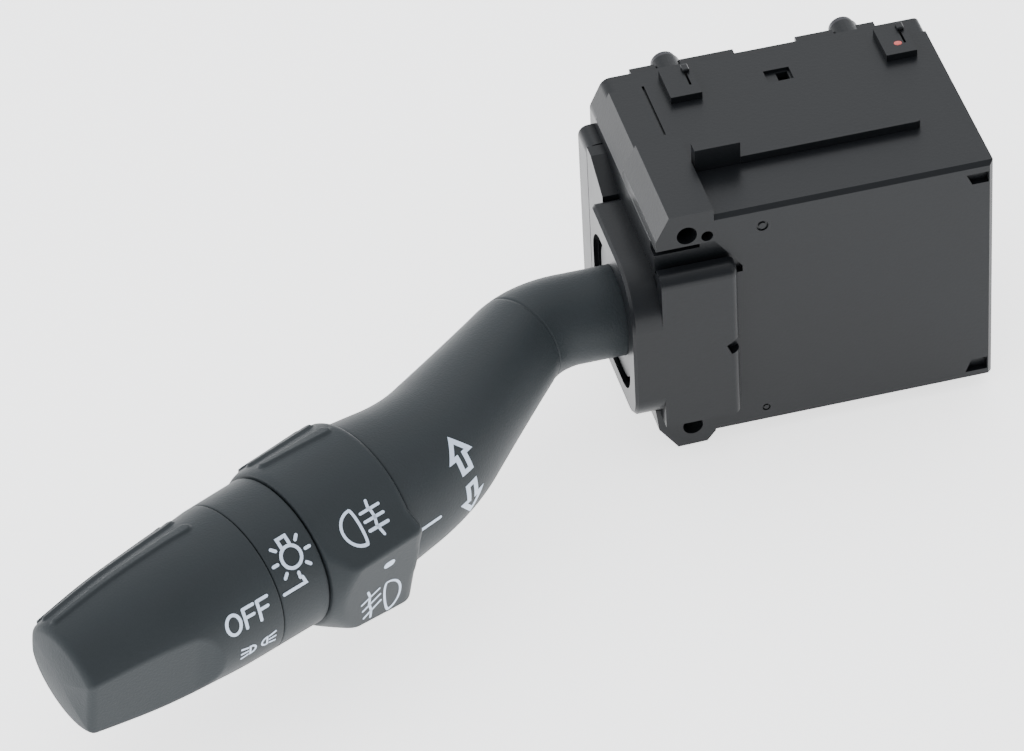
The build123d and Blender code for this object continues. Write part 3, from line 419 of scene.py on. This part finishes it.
def rim_steps(start, end, radius, spacing):
    """Values from start to end, close together where a rim of the given radius rounds off."""
    near = [radius * (1 - math.cos(math.radians(tilt))) for tilt in RIM_TILTS]
    return [start + d for d in near] + steps(start + radius, end - radius, spacing)[1:-1] + [
        end - d for d in reversed(near)
    ]


def around(sides):
    """Evenly spaced angles of a full turn."""
    return [2 * math.pi * i / sides for i in range(sides)]


def lobe_lean(angle):
    """How far the collar's finger lobe leans over the lever's shoulder at an angle."""
    turn = math.degrees((angle + math.pi) % (2 * math.pi) - math.pi)
    none, full, still_full, gone = LEAN_ANGLES
    return LEAN * clamp((turn - none) / (full - none)) * clamp((gone - turn) / (gone - still_full))


def turned_band(name, distances, outer, inner, sides=RING_SIDES, lean=None):
    """Hollow piece about the outer axis; what stands proud of the lever can lean over its end."""
    angles = around(sides)
    start = distances[0]

    def outer_point(distance, angle):
        radius = outer(distance, angle)
        if lean:
            proud = clamp((radius - SHOULDER_R - LEAN_PROUD[0]) / LEAN_PROUD[1])
            distance -= lean(angle) * proud * max(1 - (distance - start) / LEAN_LENGTH, 0.0)
        return axis_point(distance, angle, radius)

    rings = [[outer_point(d, a) for a in angles] for d in distances]
    rings += [[axis_point(d, a, inner) for a in angles] for d in (distances[-1], distances[0])]
    return skin(name, rings, closed=True)


def root_of(node, plane_x):
    """Mesh copy of a CAD node's part on the +X side of a plane."""
    work = bmesh.new()
    work.from_mesh(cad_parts[node].data)
    bmesh.ops.bisect_plane(work, geom=work.verts[:] + work.edges[:] + work.faces[:], dist=WELD,
                           plane_co=(plane_x * MM, 0, 0), plane_no=(-1, 0, 0), clear_outer=True)
    cut = [edge for edge in work.edges if edge.is_boundary]
    bmesh.ops.holes_fill(work, edges=cut)
    mesh = bpy.data.meshes.new(node + "_root")
    work.to_mesh(mesh)
    work.free()
    return mesh


# ------------------------------------------------------------------ printed symbols

def fine_line(points, closed):
    """A line with points close enough together to follow a curved surface."""
    ends = [Vector(point) for point in points]
    if closed:
        ends.append(ends[0])
    line = []
    for a, b in zip(ends, ends[1:]):
        count = max(1, math.ceil((b - a).length / PRINT_STEP))
        line += [a.lerp(b, i / count) for i in range(count)]
    return line if closed else line + [ends[-1]]


def square_to(way):
    """Unit direction to the left of a flat direction."""
    return Vector((-way.y, way.x)).normalized()


def band_edges(points, width, closed):
    """Left and right points along a printed line, with mitred corners and round ends."""
    line = fine_line(points, closed)
    count = len(line)
    edges = []
    for i, point in enumerate(line):
        ways = []
        if closed or i > 0:
            ways.append((point - line[i - 1]).normalized())
        if closed or i < count - 1:
            ways.append((line[(i + 1) % count] - point).normalized())
        along = sum(ways, Vector((0.0, 0.0))).normalized()
        aside = square_to(along) * (width / 2 / max(along.dot(ways[0]), MITRE_COS))
        edges.append((point + aside, point - aside))
    if closed:
        return edges
    caps = []
    for end, way in ((line[0], line[0] - line[1]), (line[-1], line[-1] - line[-2])):
        way.normalize()
        caps.append([(end + way * width / 2 * math.sin(tilt), square_to(way) * width / 2 * math.cos(tilt))
                     for tilt in CAP_TILTS])
    start = [(point - aside, point + aside) for point, aside in reversed(caps[0])]
    return start + edges + [(point + aside, point - aside) for point, aside in caps[1]]


def print_symbols(name, place, strokes, lift):
    """Thin raised ink from strokes of (points, width, closed) on the surface that place gives."""
    points, faces = [], []
    for line, width, closed in strokes:
        edges = band_edges(line, width, closed)
        faces += ring_faces(len(edges), 4, closed, len(points))
        for left, right in edges:
            points += [place(left, lift), place(right, lift)]
            points += [place(right, -PRINT_SINK), place(left, -PRINT_SINK)]
    return mesh_object(name, points, faces, smooth=False)


def on_lever(start, degrees_up):
    """Surface of the lever body about a distance along its centre line and an angle."""
    turn = math.radians(degrees_up)

    def place(point, lift):
        distance = start - point.x
        return lever_point(distance, turn + point.y / lever_radius(distance), lift)
    return place


def on_axis(start, degrees_up, outer):
    """Surface of a piece on the outer axis about a distance and an angle."""
    turn = math.radians(degrees_up)
    middle = outer(start, turn)

    def place(point, lift):
        distance, angle = start - point.x, turn + point.y / middle
        return axis_point(distance, angle, outer(distance, angle) + lift)
    return place


def on_ring(distance, angle):
    """Radius of the index ring's print, the same everywhere."""
    return INDEX_R


def moved(strokes, u, v):
    """Strokes shifted to another place on the surface."""
    return [([(x + u, y + v) for x, y in points], width, closed) for points, width, closed in strokes]


def oval(wide, high, start=0.0, end=360.0):
    """Points of an oval, or of a part of it between two angles."""
    count = int(abs(end - start) / OVAL_STEP)
    turns = [math.radians(start + (end - start) * i / count) for i in range(count + 1)]
    points = [(wide * math.cos(turn), high * math.sin(turn)) for turn in turns]
    return points[:-1] if abs(end - start) == 360.0 else points


def off_word():
    """The word OFF."""
    line = 0.56
    letter_f = [([(0, -1.65), (0, 1.65)], line, False), ([(0, 1.65), (2.0, 1.65)], line, False),
                ([(0, 0.1), (1.7, 0.1)], line, False)]
    letter_o = [([(x - 2.55, y) for x, y in oval(1.25, 1.72)], line, True)]
    return letter_o + moved(letter_f, -0.4, 0) + moved(letter_f, 2.35, 0)


def side_lamps():
    """Two small lamps back to back, each with three rays."""
    line = 0.36
    strokes = []
    for side in (-1, 1):
        lamp = [(side * (1.65 - x), y) for x, y in oval(1.05, 0.85, -90, 90)]
        strokes.append((lamp, line, True))
        for tilt in (-0.8, 0.0, 0.8):
            strokes.append(([(side * 2.1, tilt), (side * 3.3, tilt * 1.35)], line, False))
    return strokes


def bulb():
    """Lit bulb with its cap upwards and seven rays."""
    line = 0.56
    cap = [(-0.8, 1.9), (-0.8, 3.4), (0.8, 3.4), (0.8, 1.9)]
    strokes = [(oval(1.8, 1.8), line, True), (cap, line, False)]
    for i in range(7):
        turn = math.radians(135 + 45 * i)
        ray = Vector((math.cos(turn), math.sin(turn)))
        strokes.append(([tuple(ray * 2.8), tuple(ray * 3.6)], line, False))
    return strokes


def level_fog_lamp():
    """Lamp with three level beams crossed by a wavy line."""
    line = 0.5
    lamp = oval(2.8, 2.9, 90, 270) + oval(0.5, 2.9, -90, 90)[1:-1]
    strokes = [(lamp, line, True)]
    strokes += [([(1.5, v), (5.1, v)], line, False) for v in (-1.5, 0.0, 1.5)]
    wave = [(3.4, 2.9), (3.2, 1.9), (3.4, 1.0), (3.45, 0.0), (3.1, -1.1), (3.25, -2.0), (3.45, -2.8)]
    return strokes + [(wave, line, False)]


def dipped_fog_lamp():
    """Lamp with three falling beams crossed by a wavy line."""
    line = 0.46
    lamp = oval(2.55, 3.8, -90, 90) + oval(0.75, 3.8, 90, 270)[1:-1]
    strokes = [([(x - 0.18 * y, y) for x, y in lamp], line, True)]
    strokes += [([(-5.6 + 0.5 * i, 1.4 - 1.95 * i), (-2.3 + 0.4 * i, 3.4 - 1.9 * i)], line, False)
                for i in range(3)]
    wave = [(-4.75, 4.3), (-4.1, 2.6), (-4.0, 0.5), (-3.25, -1.6), (-3.15, -3.1)]
    return strokes + [(wave, line, False)]


def arrow(way):
    """Outlined arrow that points up (1) or down (-1)."""
    outline = [(0, 2.65), (1.75, -0.2), (0.75, -0.2), (0.75, -3.0)]
    outline += [(-x, y) for x, y in reversed(outline[1:])]
    return [([(x, y * way) for x, y in outline], 0.78, True)]


def index_mark():
    """Bent line on the index ring that the knob's symbols point at."""
    return [([(-0.3, 1.1), (0, 0), (-4.35, 0)], MARK_LINE, False)]


def fog_dot():
    """Dot between the collar's two symbols."""
    return [([(-0.38, 0), (0.38, 0)], 1.45, False)]


def fog_mark():
    """Dash on the lever that the collar's symbols point at."""
    return [([(-2.1, 0.1), (2.1, -0.15)], MARK_LINE, False)]


# ------------------------------------------------------------------ finishes

MOTTLING_SCALE = 120.0
ROUGHNESS_SPREAD = 0.04  # how far the roughness strays with the mottling
GRAIN_DEPTH = 0.00015  # metres


def finish(name, colour, roughness, grain=0.0, grain_scale=1800.0, metallic=0.0, mottling=0.08,
           gleam=0.5):
    """Procedural material: even colour with faint mottling and, where asked for, a moulded grain."""
    material = bpy.data.materials.new(name)
    material.use_nodes = True
    nodes, links = material.node_tree.nodes, material.node_tree.links
    shader = nodes["Principled BSDF"]
    shader.inputs["Metallic"].default_value = metallic
    shader.inputs["Specular IOR Level"].default_value = gleam
    place = nodes.new("ShaderNodeTexCoord")
    clouds = nodes.new("ShaderNodeTexNoise")
    clouds.inputs["Scale"].default_value = MOTTLING_SCALE
    clouds.inputs["Detail"].default_value = 4.0
    links.new(place.outputs["Object"], clouds.inputs["Vector"])
    shade = nodes.new("ShaderNodeMapRange")
    shade.inputs["To Min"].default_value = 1.0 - mottling
    shade.inputs["To Max"].default_value = 1.0 + mottling
    links.new(clouds.outputs["Fac"], shade.inputs["Value"])
    tint = nodes.new("ShaderNodeVectorMath")
    tint.operation = "SCALE"
    tint.inputs[0].default_value = colour[:3]
    links.new(shade.outputs["Result"], tint.inputs["Scale"])
    links.new(tint.outputs["Vector"], shader.inputs["Base Color"])
    gloss = nodes.new("ShaderNodeMapRange")
    gloss.inputs["To Min"].default_value = roughness - ROUGHNESS_SPREAD
    gloss.inputs["To Max"].default_value = roughness + ROUGHNESS_SPREAD
    links.new(clouds.outputs["Fac"], gloss.inputs["Value"])
    links.new(gloss.outputs["Result"], shader.inputs["Roughness"])
    if grain:
        pits = nodes.new("ShaderNodeTexNoise")
        pits.inputs["Scale"].default_value = grain_scale
        pits.inputs["Detail"].default_value = 3.0
        links.new(place.outputs["Object"], pits.inputs["Vector"])
        bump = nodes.new("ShaderNodeBump")
        bump.inputs["Strength"].default_value = grain
        bump.inputs["Distance"].default_value = GRAIN_DEPTH
        links.new(pits.outputs["Fac"], bump.inputs["Height"])
        links.new(bump.outputs["Normal"], shader.inputs["Normal"])
    return material


def lever_plastic():
    """The satin plastic of the lever's pieces, made once."""
    name = "satin_charcoal"
    colour = bpy.context.scene.stalk_colours.lever
    return bpy.data.materials.get(name) or finish(name, colour, 0.5, grain=0.35, grain_scale=2600.0,
                                                  gleam=0.17)


def coat_with(piece, material):
    """Gives a piece one material."""
    piece.data.materials.clear()
    piece.data.materials.append(material)


# ------------------------------------------------------------------ what a user can change

class StalkSwitchSizes(bpy.types.PropertyGroup):
    """Small sizes of the moulding and the print"""
    edge_round: bpy.props.FloatProperty(
        name="Edge rounding", description="Radius of the housing's moulded edges", default=0.00035,
        min=0.00005, max=0.001, subtype="DISTANCE", unit="LENGTH")
    print_lift: bpy.props.FloatProperty(
        name="Print thickness", description="Height of the print over the plastic", default=0.00004,
        min=0.00001, max=0.0005, subtype="DISTANCE", unit="LENGTH")


class StalkSwitchColours(bpy.types.PropertyGroup):
    """Colours of the plastics, the print and the floor"""
    lever: bpy.props.FloatVectorProperty(
        name="Lever", description="Satin plastic of the lever, collar, ring and knob", size=3,
        default=(0.024, 0.029, 0.032), min=0.0, max=1.0, subtype="COLOR")
    case: bpy.props.FloatVectorProperty(
        name="Housing", description="Glossier plastic of the housing", size=3,
        default=(0.0085, 0.0095, 0.011), min=0.0, max=1.0, subtype="COLOR")
    printing: bpy.props.FloatVectorProperty(
        name="Print", description="Ink of the symbols", size=3,
        default=(0.60, 0.70, 0.86), min=0.0, max=1.0, subtype="COLOR")
    floor: bpy.props.FloatVectorProperty(
        name="Floor", description="Plain floor under the switch", size=3,
        default=(0.97, 0.97, 0.97), min=0.0, max=1.0, subtype="COLOR")


class StalkSwitchStage(bpy.types.PropertyGroup):
    """Floor and light of the studio"""
    floor_drop: bpy.props.FloatProperty(
        name="Floor drop", description="Extra distance from the switch's lowest point to the floor",
        default=0.0, min=0.0, max=0.5, subtype="DISTANCE", unit="LENGTH")
    floor_glow: bpy.props.FloatProperty(
        name="Floor glow", description="Light that the floor gives off", default=1.8, min=0.0, max=20.0)
    sky_bright: bpy.props.FloatProperty(
        name="Bright sky", description="Strength of the surroundings behind the switch", default=1.7,
        min=0.0, max=20.0)
    sky_dark: bpy.props.FloatProperty(
        name="Dark sky", description="Strength of the surroundings in front of the switch", default=0.3,
        min=0.0, max=20.0)
    brightness: bpy.props.FloatProperty(
        name="Lamp brightness", description="Factor on every lamp of the studio", default=1.0, min=0.0,
        max=10.0, subtype="FACTOR")


# ------------------------------------------------------------------ operators

class STALK_OT_lever(bpy.types.Operator):
    """Build the cranked lever body from the neck to the collar's shoulder"""
    bl_idname = "stalk.lever"
    bl_label = "Lever body"

    def execute(self, context):
        floor, mouth = SEAM_HALF
        seam = [SEAM_AT - floor, SEAM_AT + floor]
        distances = steps(-NECK_HIDDEN, 0.0, 2.0)[:-1] + steps(0.0, SEAM_AT - mouth, 0.5) + seam
        distances += steps(SEAM_AT + mouth, PATH_LENGTH - SHOULDER_EDGE, 0.5)
        stations = [(distance, -SEAM_DEPTH if distance in seam else 0.0) for distance in distances]
        for tilt in RIM_TILTS[1:]:
            back = SHOULDER_EDGE * (1 - math.sin(math.radians(tilt)))
            drop = SHOULDER_EDGE * (1 - math.cos(math.radians(tilt)))
            stations.append((PATH_LENGTH - back, -drop))
        socket_r, socket_depth = SOCKET
        for distance in (PATH_LENGTH, PATH_LENGTH - socket_depth):
            stations.append((distance, socket_r - lever_radius(distance)))
        angles = around(LEVER_SIDES)
        rings = [[lever_point(distance, angle, lift) for angle in angles] for distance, lift in stations]
        piece = skin("lever_body_shape", rings)
        root = new_object("lever_root", root_of("lever_body", ROOT_AT))
        coat_with(piece, lever_plastic())
        coat_with(root, lever_plastic())
        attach(piece, "lever")
        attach(root, "lever")
        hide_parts("lever_body")
        return {"FINISHED"}


class STALK_OT_collar(bpy.types.Operator):
    """Build the fog lamp collar with its finger lobe and grip ribs"""
    bl_idname = "stalk.collar"
    bl_label = "Fog collar"

    def execute(self, context):
        distances = rim_steps(*COLLAR, COLLAR_RIM, 0.25)
        piece = turned_band("fog_collar_shape", distances, collar_radius, COLLAR_BORE, RIBBED_SIDES,
                            lobe_lean)
        coat_with(piece, lever_plastic())
        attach(piece, "fog")
        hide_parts("fog_collar")
        return {"FINISHED"}


class STALK_OT_index_ring(bpy.types.Operator):
    """Build the fixed index ring between the collar and the knob"""
    bl_idname = "stalk.index_ring"
    bl_label = "Index ring"

    def execute(self, context):
        distances = rim_steps(*INDEX, FINE_RIM, 1.0)
        piece = turned_band("index_ring_shape", distances, index_radius, INDEX_BORE)
        coat_with(piece, lever_plastic())
        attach(piece, "lever")
        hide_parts("index_ring")
        return {"FINISHED"}


class STALK_OT_knob(bpy.types.Operator):
    """Build the light knob with its flattened tip and finger facets"""
    bl_idname = "stalk.knob"
    bl_label = "Light knob"

    def execute(self, context):
        angles = around(RIBBED_SIDES)
        rim, tip = KNOB
        hole_r, hollow_r, hollow_depth = KNOB_BORE
        inside = ((rim + hollow_depth, hole_r), (rim + hollow_depth, hollow_r), (rim, hollow_r))
        rings = [[axis_point(distance, angle, radius) for angle in angles] for distance, radius in inside]
        for distance in rim_steps(rim, tip, TIP_RIM, 0.3):
            rings.append([axis_point(distance, angle, knob_radius(distance, angle)) for angle in angles])
        for share in (0.8, 0.5, 0.2, 0.02):
            end = tip + TIP_BULGE * (1 - share**2)
            rings.append([axis_point(end, angle, knob_radius(tip, angle) * share) for angle in angles])
        piece = skin("headlight_knob_shape", rings)
        coat_with(piece, lever_plastic())
        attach(piece, "knob")
        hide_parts("headlight_knob")
        return {"FINISHED"}


class STALK_OT_legends(bpy.types.Operator):
    """Print the lamp, fog lamp and arrow symbols on the lever's pieces"""
    bl_idname = "stalk.legends"
    bl_label = "Printed symbols"

    def execute(self, context):
        ink = finish("pad_print", context.scene.stalk_colours.printing, 0.5, mottling=0.02)
        lift = context.scene.stalk_sizes.print_lift / MM
        prints = (  # name, body, surface with its distance and degrees up, symbol
            ("print_off", "knob", on_axis(45.3, 17.3, knob_radius), off_word()),
            ("print_side_lamps", "knob", on_axis(43.9, -11.9, knob_radius), side_lamps()),
            ("print_bulb", "lever", on_axis(34.27, 39.5, on_ring), bulb()),
            ("print_index_mark", "lever", on_axis(33.6, 18.2, on_ring), index_mark()),
            ("print_fog_level", "fog", on_axis(22.1, 34.2, collar_radius), level_fog_lamp()),
            ("print_fog_dot", "fog", on_axis(18.95, 0.8, collar_radius), fog_dot()),
            ("print_fog_dipped", "fog", on_axis(17.94, -33.9, collar_radius), dipped_fog_lamp()),
            ("print_fog_mark", "lever", on_lever(52.15, 3.5), fog_mark()),
            ("print_arrow_up", "lever", on_lever(43.95, 36.0), arrow(1)),
            ("print_arrow_down", "lever", on_lever(43.95, -5.8), arrow(-1)),
        )
        for name, body, place, strokes in prints:
            piece = print_symbols(name, place, strokes, lift)
            coat_with(piece, ink)
            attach(piece, body)
        return {"FINISHED"}


HOUSING_NODES = ("main_case", "front_cover", "rear_cover", "neck_shield")


def bevel(piece, name, width, segments, degrees):
    """Modifier that rounds every edge sharper than an angle."""
    edge = piece.modifiers.new(name, "BEVEL")
    edge.width = width
    edge.segments = segments
    edge.limit_method = "ANGLE"
    edge.angle_limit = math.radians(degrees)
    return edge


class STALK_OT_housing(bpy.types.Operator):
    """Round the housing's moulded edges and give it its black plastic"""
    bl_idname = "stalk.housing"
    bl_label = "Housing"

    def execute(self, context):
        sizes = context.scene.stalk_sizes
        black = finish("housing_nylon", context.scene.stalk_colours.case, 0.32, grain=0.12, gleam=0.21)
        for node in HOUSING_NODES:
            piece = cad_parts[node]
            plain = piece.modifiers.new("flat_faces", "DECIMATE")
            plain.decimate_type = "DISSOLVE"
            plain.angle_limit = math.radians(1.0)
            edge = bevel(piece, "moulded_edges", sizes.edge_round, segments=2, degrees=35)
            edge.use_clamp_overlap = True
            edge.harden_normals = True
            piece.data.polygons.foreach_set("use_smooth", [True] * len(piece.data.polygons))
            coat_with(piece, black)
        mark_latches(black)
        return {"FINISHED"}


def mark_latches(plastic):
    """Stop post behind the slit of each latch, and the dab of paint on the right-hand one."""
    half_x, half_y = STOP_HALF
    for number, middle in enumerate(LATCH_STOPS, 1):
        corners = [Vector((middle + x * half_x, STOP_Y + y * half_y, z)) for z in STOP_Z
                   for x, y in SQUARE]
        post = mesh_object("latch_stop_%d" % number, corners, ring_faces(2, 4, False), smooth=False)
        bevel(post, "rounded", width=0.0003, segments=3, degrees=30)
        coat_with(post, plastic)
        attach(post, "housing")
    x, y = DAB_AT
    rings = [[Vector((x + r * math.cos(a), y + DAB_OVAL * r * math.sin(a), z)) for a in around(18)]
             for r, z in DAB_RINGS]
    dab = skin("inspection_dab", rings)
    coat_with(dab, finish("red_paint", (0.62, 0.09, 0.075), 0.4, mottling=0.05))
    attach(dab, "housing")


MECHANISM = {
    "acetal": ("turn_bracket", "detent_cam", "turn_plunger", "dimmer_plunger", "knob_rotor", "turn_slider",
               "dimmer_slider", "cancel_pawl"),
    "screw_steel": ("cover_screws", "cancel_pin", "dimmer_pin", "fog_detent_ball"),
    "spring_steel": ("turn_spring", "dimmer_spring", "cancel_spring", "retaining_clip"),
    "contact_brass": ("fixed_contacts", "terminal_pins", "turn_wipers", "dimmer_contacts", "dimmer_wiper",
                      "fog_contact_ring", "fog_wiper", "knob_wiper"),
    "board_phenolic": ("contact_board", "dimmer_contact_plate", "light_switch_base"),
    "cable_rubber": ("lever_cable",),
    "lever_plastic": ("collar_stem",),
}


class STALK_OT_mechanism(bpy.types.Operator):
    """Give the inner pieces their own plastics and metals"""
    bl_idname = "stalk.mechanism"
    bl_label = "Mechanism"

    def execute(self, context):
        looks = {
            "acetal": finish("natural_acetal", (0.62, 0.60, 0.53), 0.42),
            "screw_steel": finish("black_oxide", (0.06, 0.06, 0.065), 0.4, metallic=1.0),
            "spring_steel": finish("drawn_wire", (0.40, 0.40, 0.42), 0.28, metallic=1.0),
            "contact_brass": finish("contact_brass", (0.74, 0.55, 0.26), 0.27, metallic=1.0),
            "board_phenolic": finish("phenolic_board", (0.22, 0.12, 0.055), 0.55, mottling=0.2),
            "cable_rubber": finish("cable_sheath", (0.018, 0.018, 0.018), 0.6),
            "lever_plastic": lever_plastic(),
        }
        for slot, nodes in MECHANISM.items():
            for node in nodes:
                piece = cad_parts[node]
                coat_with(piece, looks[slot])
                bevel(piece, "broken_edges", width=0.00008, segments=1, degrees=50)
        return {"FINISHED"}


class STALK_OT_stage(bpy.types.Operator):
    """Lay the pale floor, hang the lamps and aim the camera"""
    bl_idname = "stalk.stage"
    bl_label = "Stage"

    def execute(self, context):
        settings = context.scene.stalk_stage
        lowest = REST_BOUNDS[0][2] - settings.floor_drop - FLOOR_GAP
        mesh = bpy.data.meshes.new("floor")
        corners = [(x * FLOOR_HALF, y * FLOOR_HALF, lowest) for x, y in SQUARE]
        mesh.from_pydata(corners, [], [(0, 1, 2, 3)])
        floor = new_object("floor", mesh)
        paper = finish("floor_paper", context.scene.stalk_colours.floor, 0.8, mottling=0.0)
        glow = paper.node_tree.nodes["Principled BSDF"]
        glow.inputs["Emission Color"].default_value = (1.0, 1.0, 1.0, 1.0)
        glow.inputs["Emission Strength"].default_value = settings.floor_glow
        mesh.materials.append(paper)

        world = bpy.data.worlds.new("studio")
        context.scene.world = world
        world.use_nodes = True
        nodes, links = world.node_tree.nodes, world.node_tree.links
        sky = nodes["Background"]
        sky.inputs["Color"].default_value = (0.95, 0.97, 1.0, 1.0)
        place = nodes.new("ShaderNodeTexCoord")
        facing = nodes.new("ShaderNodeVectorMath")
        facing.operation = "DOT_PRODUCT"
        facing.inputs[1].default_value = SKY_DARK_WAY
        links.new(place.outputs["Generated"], facing.inputs[0])
        dimming = nodes.new("ShaderNodeMapRange")
        for socket, value in (("From Min", SKY_FADE[0]), ("From Max", SKY_FADE[1]),
                              ("To Min", settings.sky_bright), ("To Max", settings.sky_dark)):
            dimming.inputs[socket].default_value = value
        links.new(facing.outputs["Value"], dimming.inputs["Value"])
        links.new(dimming.outputs["Result"], sky.inputs["Strength"])

        for name, place, size, watts in LAMPS:
            light = bpy.data.lights.new(name, "AREA")
            light.shape = "SQUARE"
            light.size = size
            light.energy = watts * settings.brightness
            lamp = new_object(name, light)
            lamp.location = place
            lamp.rotation_euler = (LAMP_TARGET - Vector(place)).to_track_quat("-Z", "Y").to_euler()

        view = bpy.data.cameras.new("camera")
        view.lens = CAMERA_LENS
        view.sensor_width = CAMERA_SENSOR
        view.clip_end = 100.0
        camera = new_object("camera", view)
        turn = Matrix((CAMERA_RIGHT, -CAMERA_DOWN, -CAMERA_AHEAD)).transposed().to_4x4()
        camera.matrix_world = Matrix.Translation(CAMERA_AT) @ turn
        context.scene.camera = camera
        return {"FINISHED"}


class STALK_PT_panel(bpy.types.Panel):
    """Sizes, colours and build steps of the stalk switch"""
    bl_label = "Stalk switch"
    bl_idname = "STALK_PT_panel"
    bl_space_type = "VIEW_3D"
    bl_region_type = "UI"
    bl_category = "Stalk switch"

    def draw(self, context):
        for group in (context.scene.stalk_sizes, context.scene.stalk_colours, context.scene.stalk_stage):
            box = self.layout.box()
            for name in group.bl_rna.properties.keys():
                if name not in ("rna_type", "name"):
                    box.prop(group, name)
        for step in BUILD_STEPS:
            self.layout.operator(step.bl_idname)


BUILD_STEPS = (STALK_OT_lever, STALK_OT_collar, STALK_OT_index_ring, STALK_OT_knob, STALK_OT_legends,
               STALK_OT_housing, STALK_OT_mechanism, STALK_OT_stage)
PROPERTY_GROUPS = (("stalk_sizes", StalkSwitchSizes), ("stalk_colours", StalkSwitchColours),
                   ("stalk_stage", StalkSwitchStage))


def register():
    for name, group in PROPERTY_GROUPS:
        bpy.utils.register_class(group)
        setattr(bpy.types.Scene, name, bpy.props.PointerProperty(type=group))
    for step in BUILD_STEPS:
        bpy.utils.register_class(step)
    bpy.utils.register_class(STALK_PT_panel)


def unregister():
    bpy.utils.unregister_class(STALK_PT_panel)
    for step in reversed(BUILD_STEPS):
        bpy.utils.unregister_class(step)
    for name, group in reversed(PROPERTY_GROUPS):
        delattr(bpy.types.Scene, name)
        bpy.utils.unregister_class(group)


def main():
    register()
    for step in BUILD_STEPS:
        family, action = step.bl_idname.split(".")
        getattr(getattr(bpy.ops, family), action)()


if __name__ == "__main__":
    main()
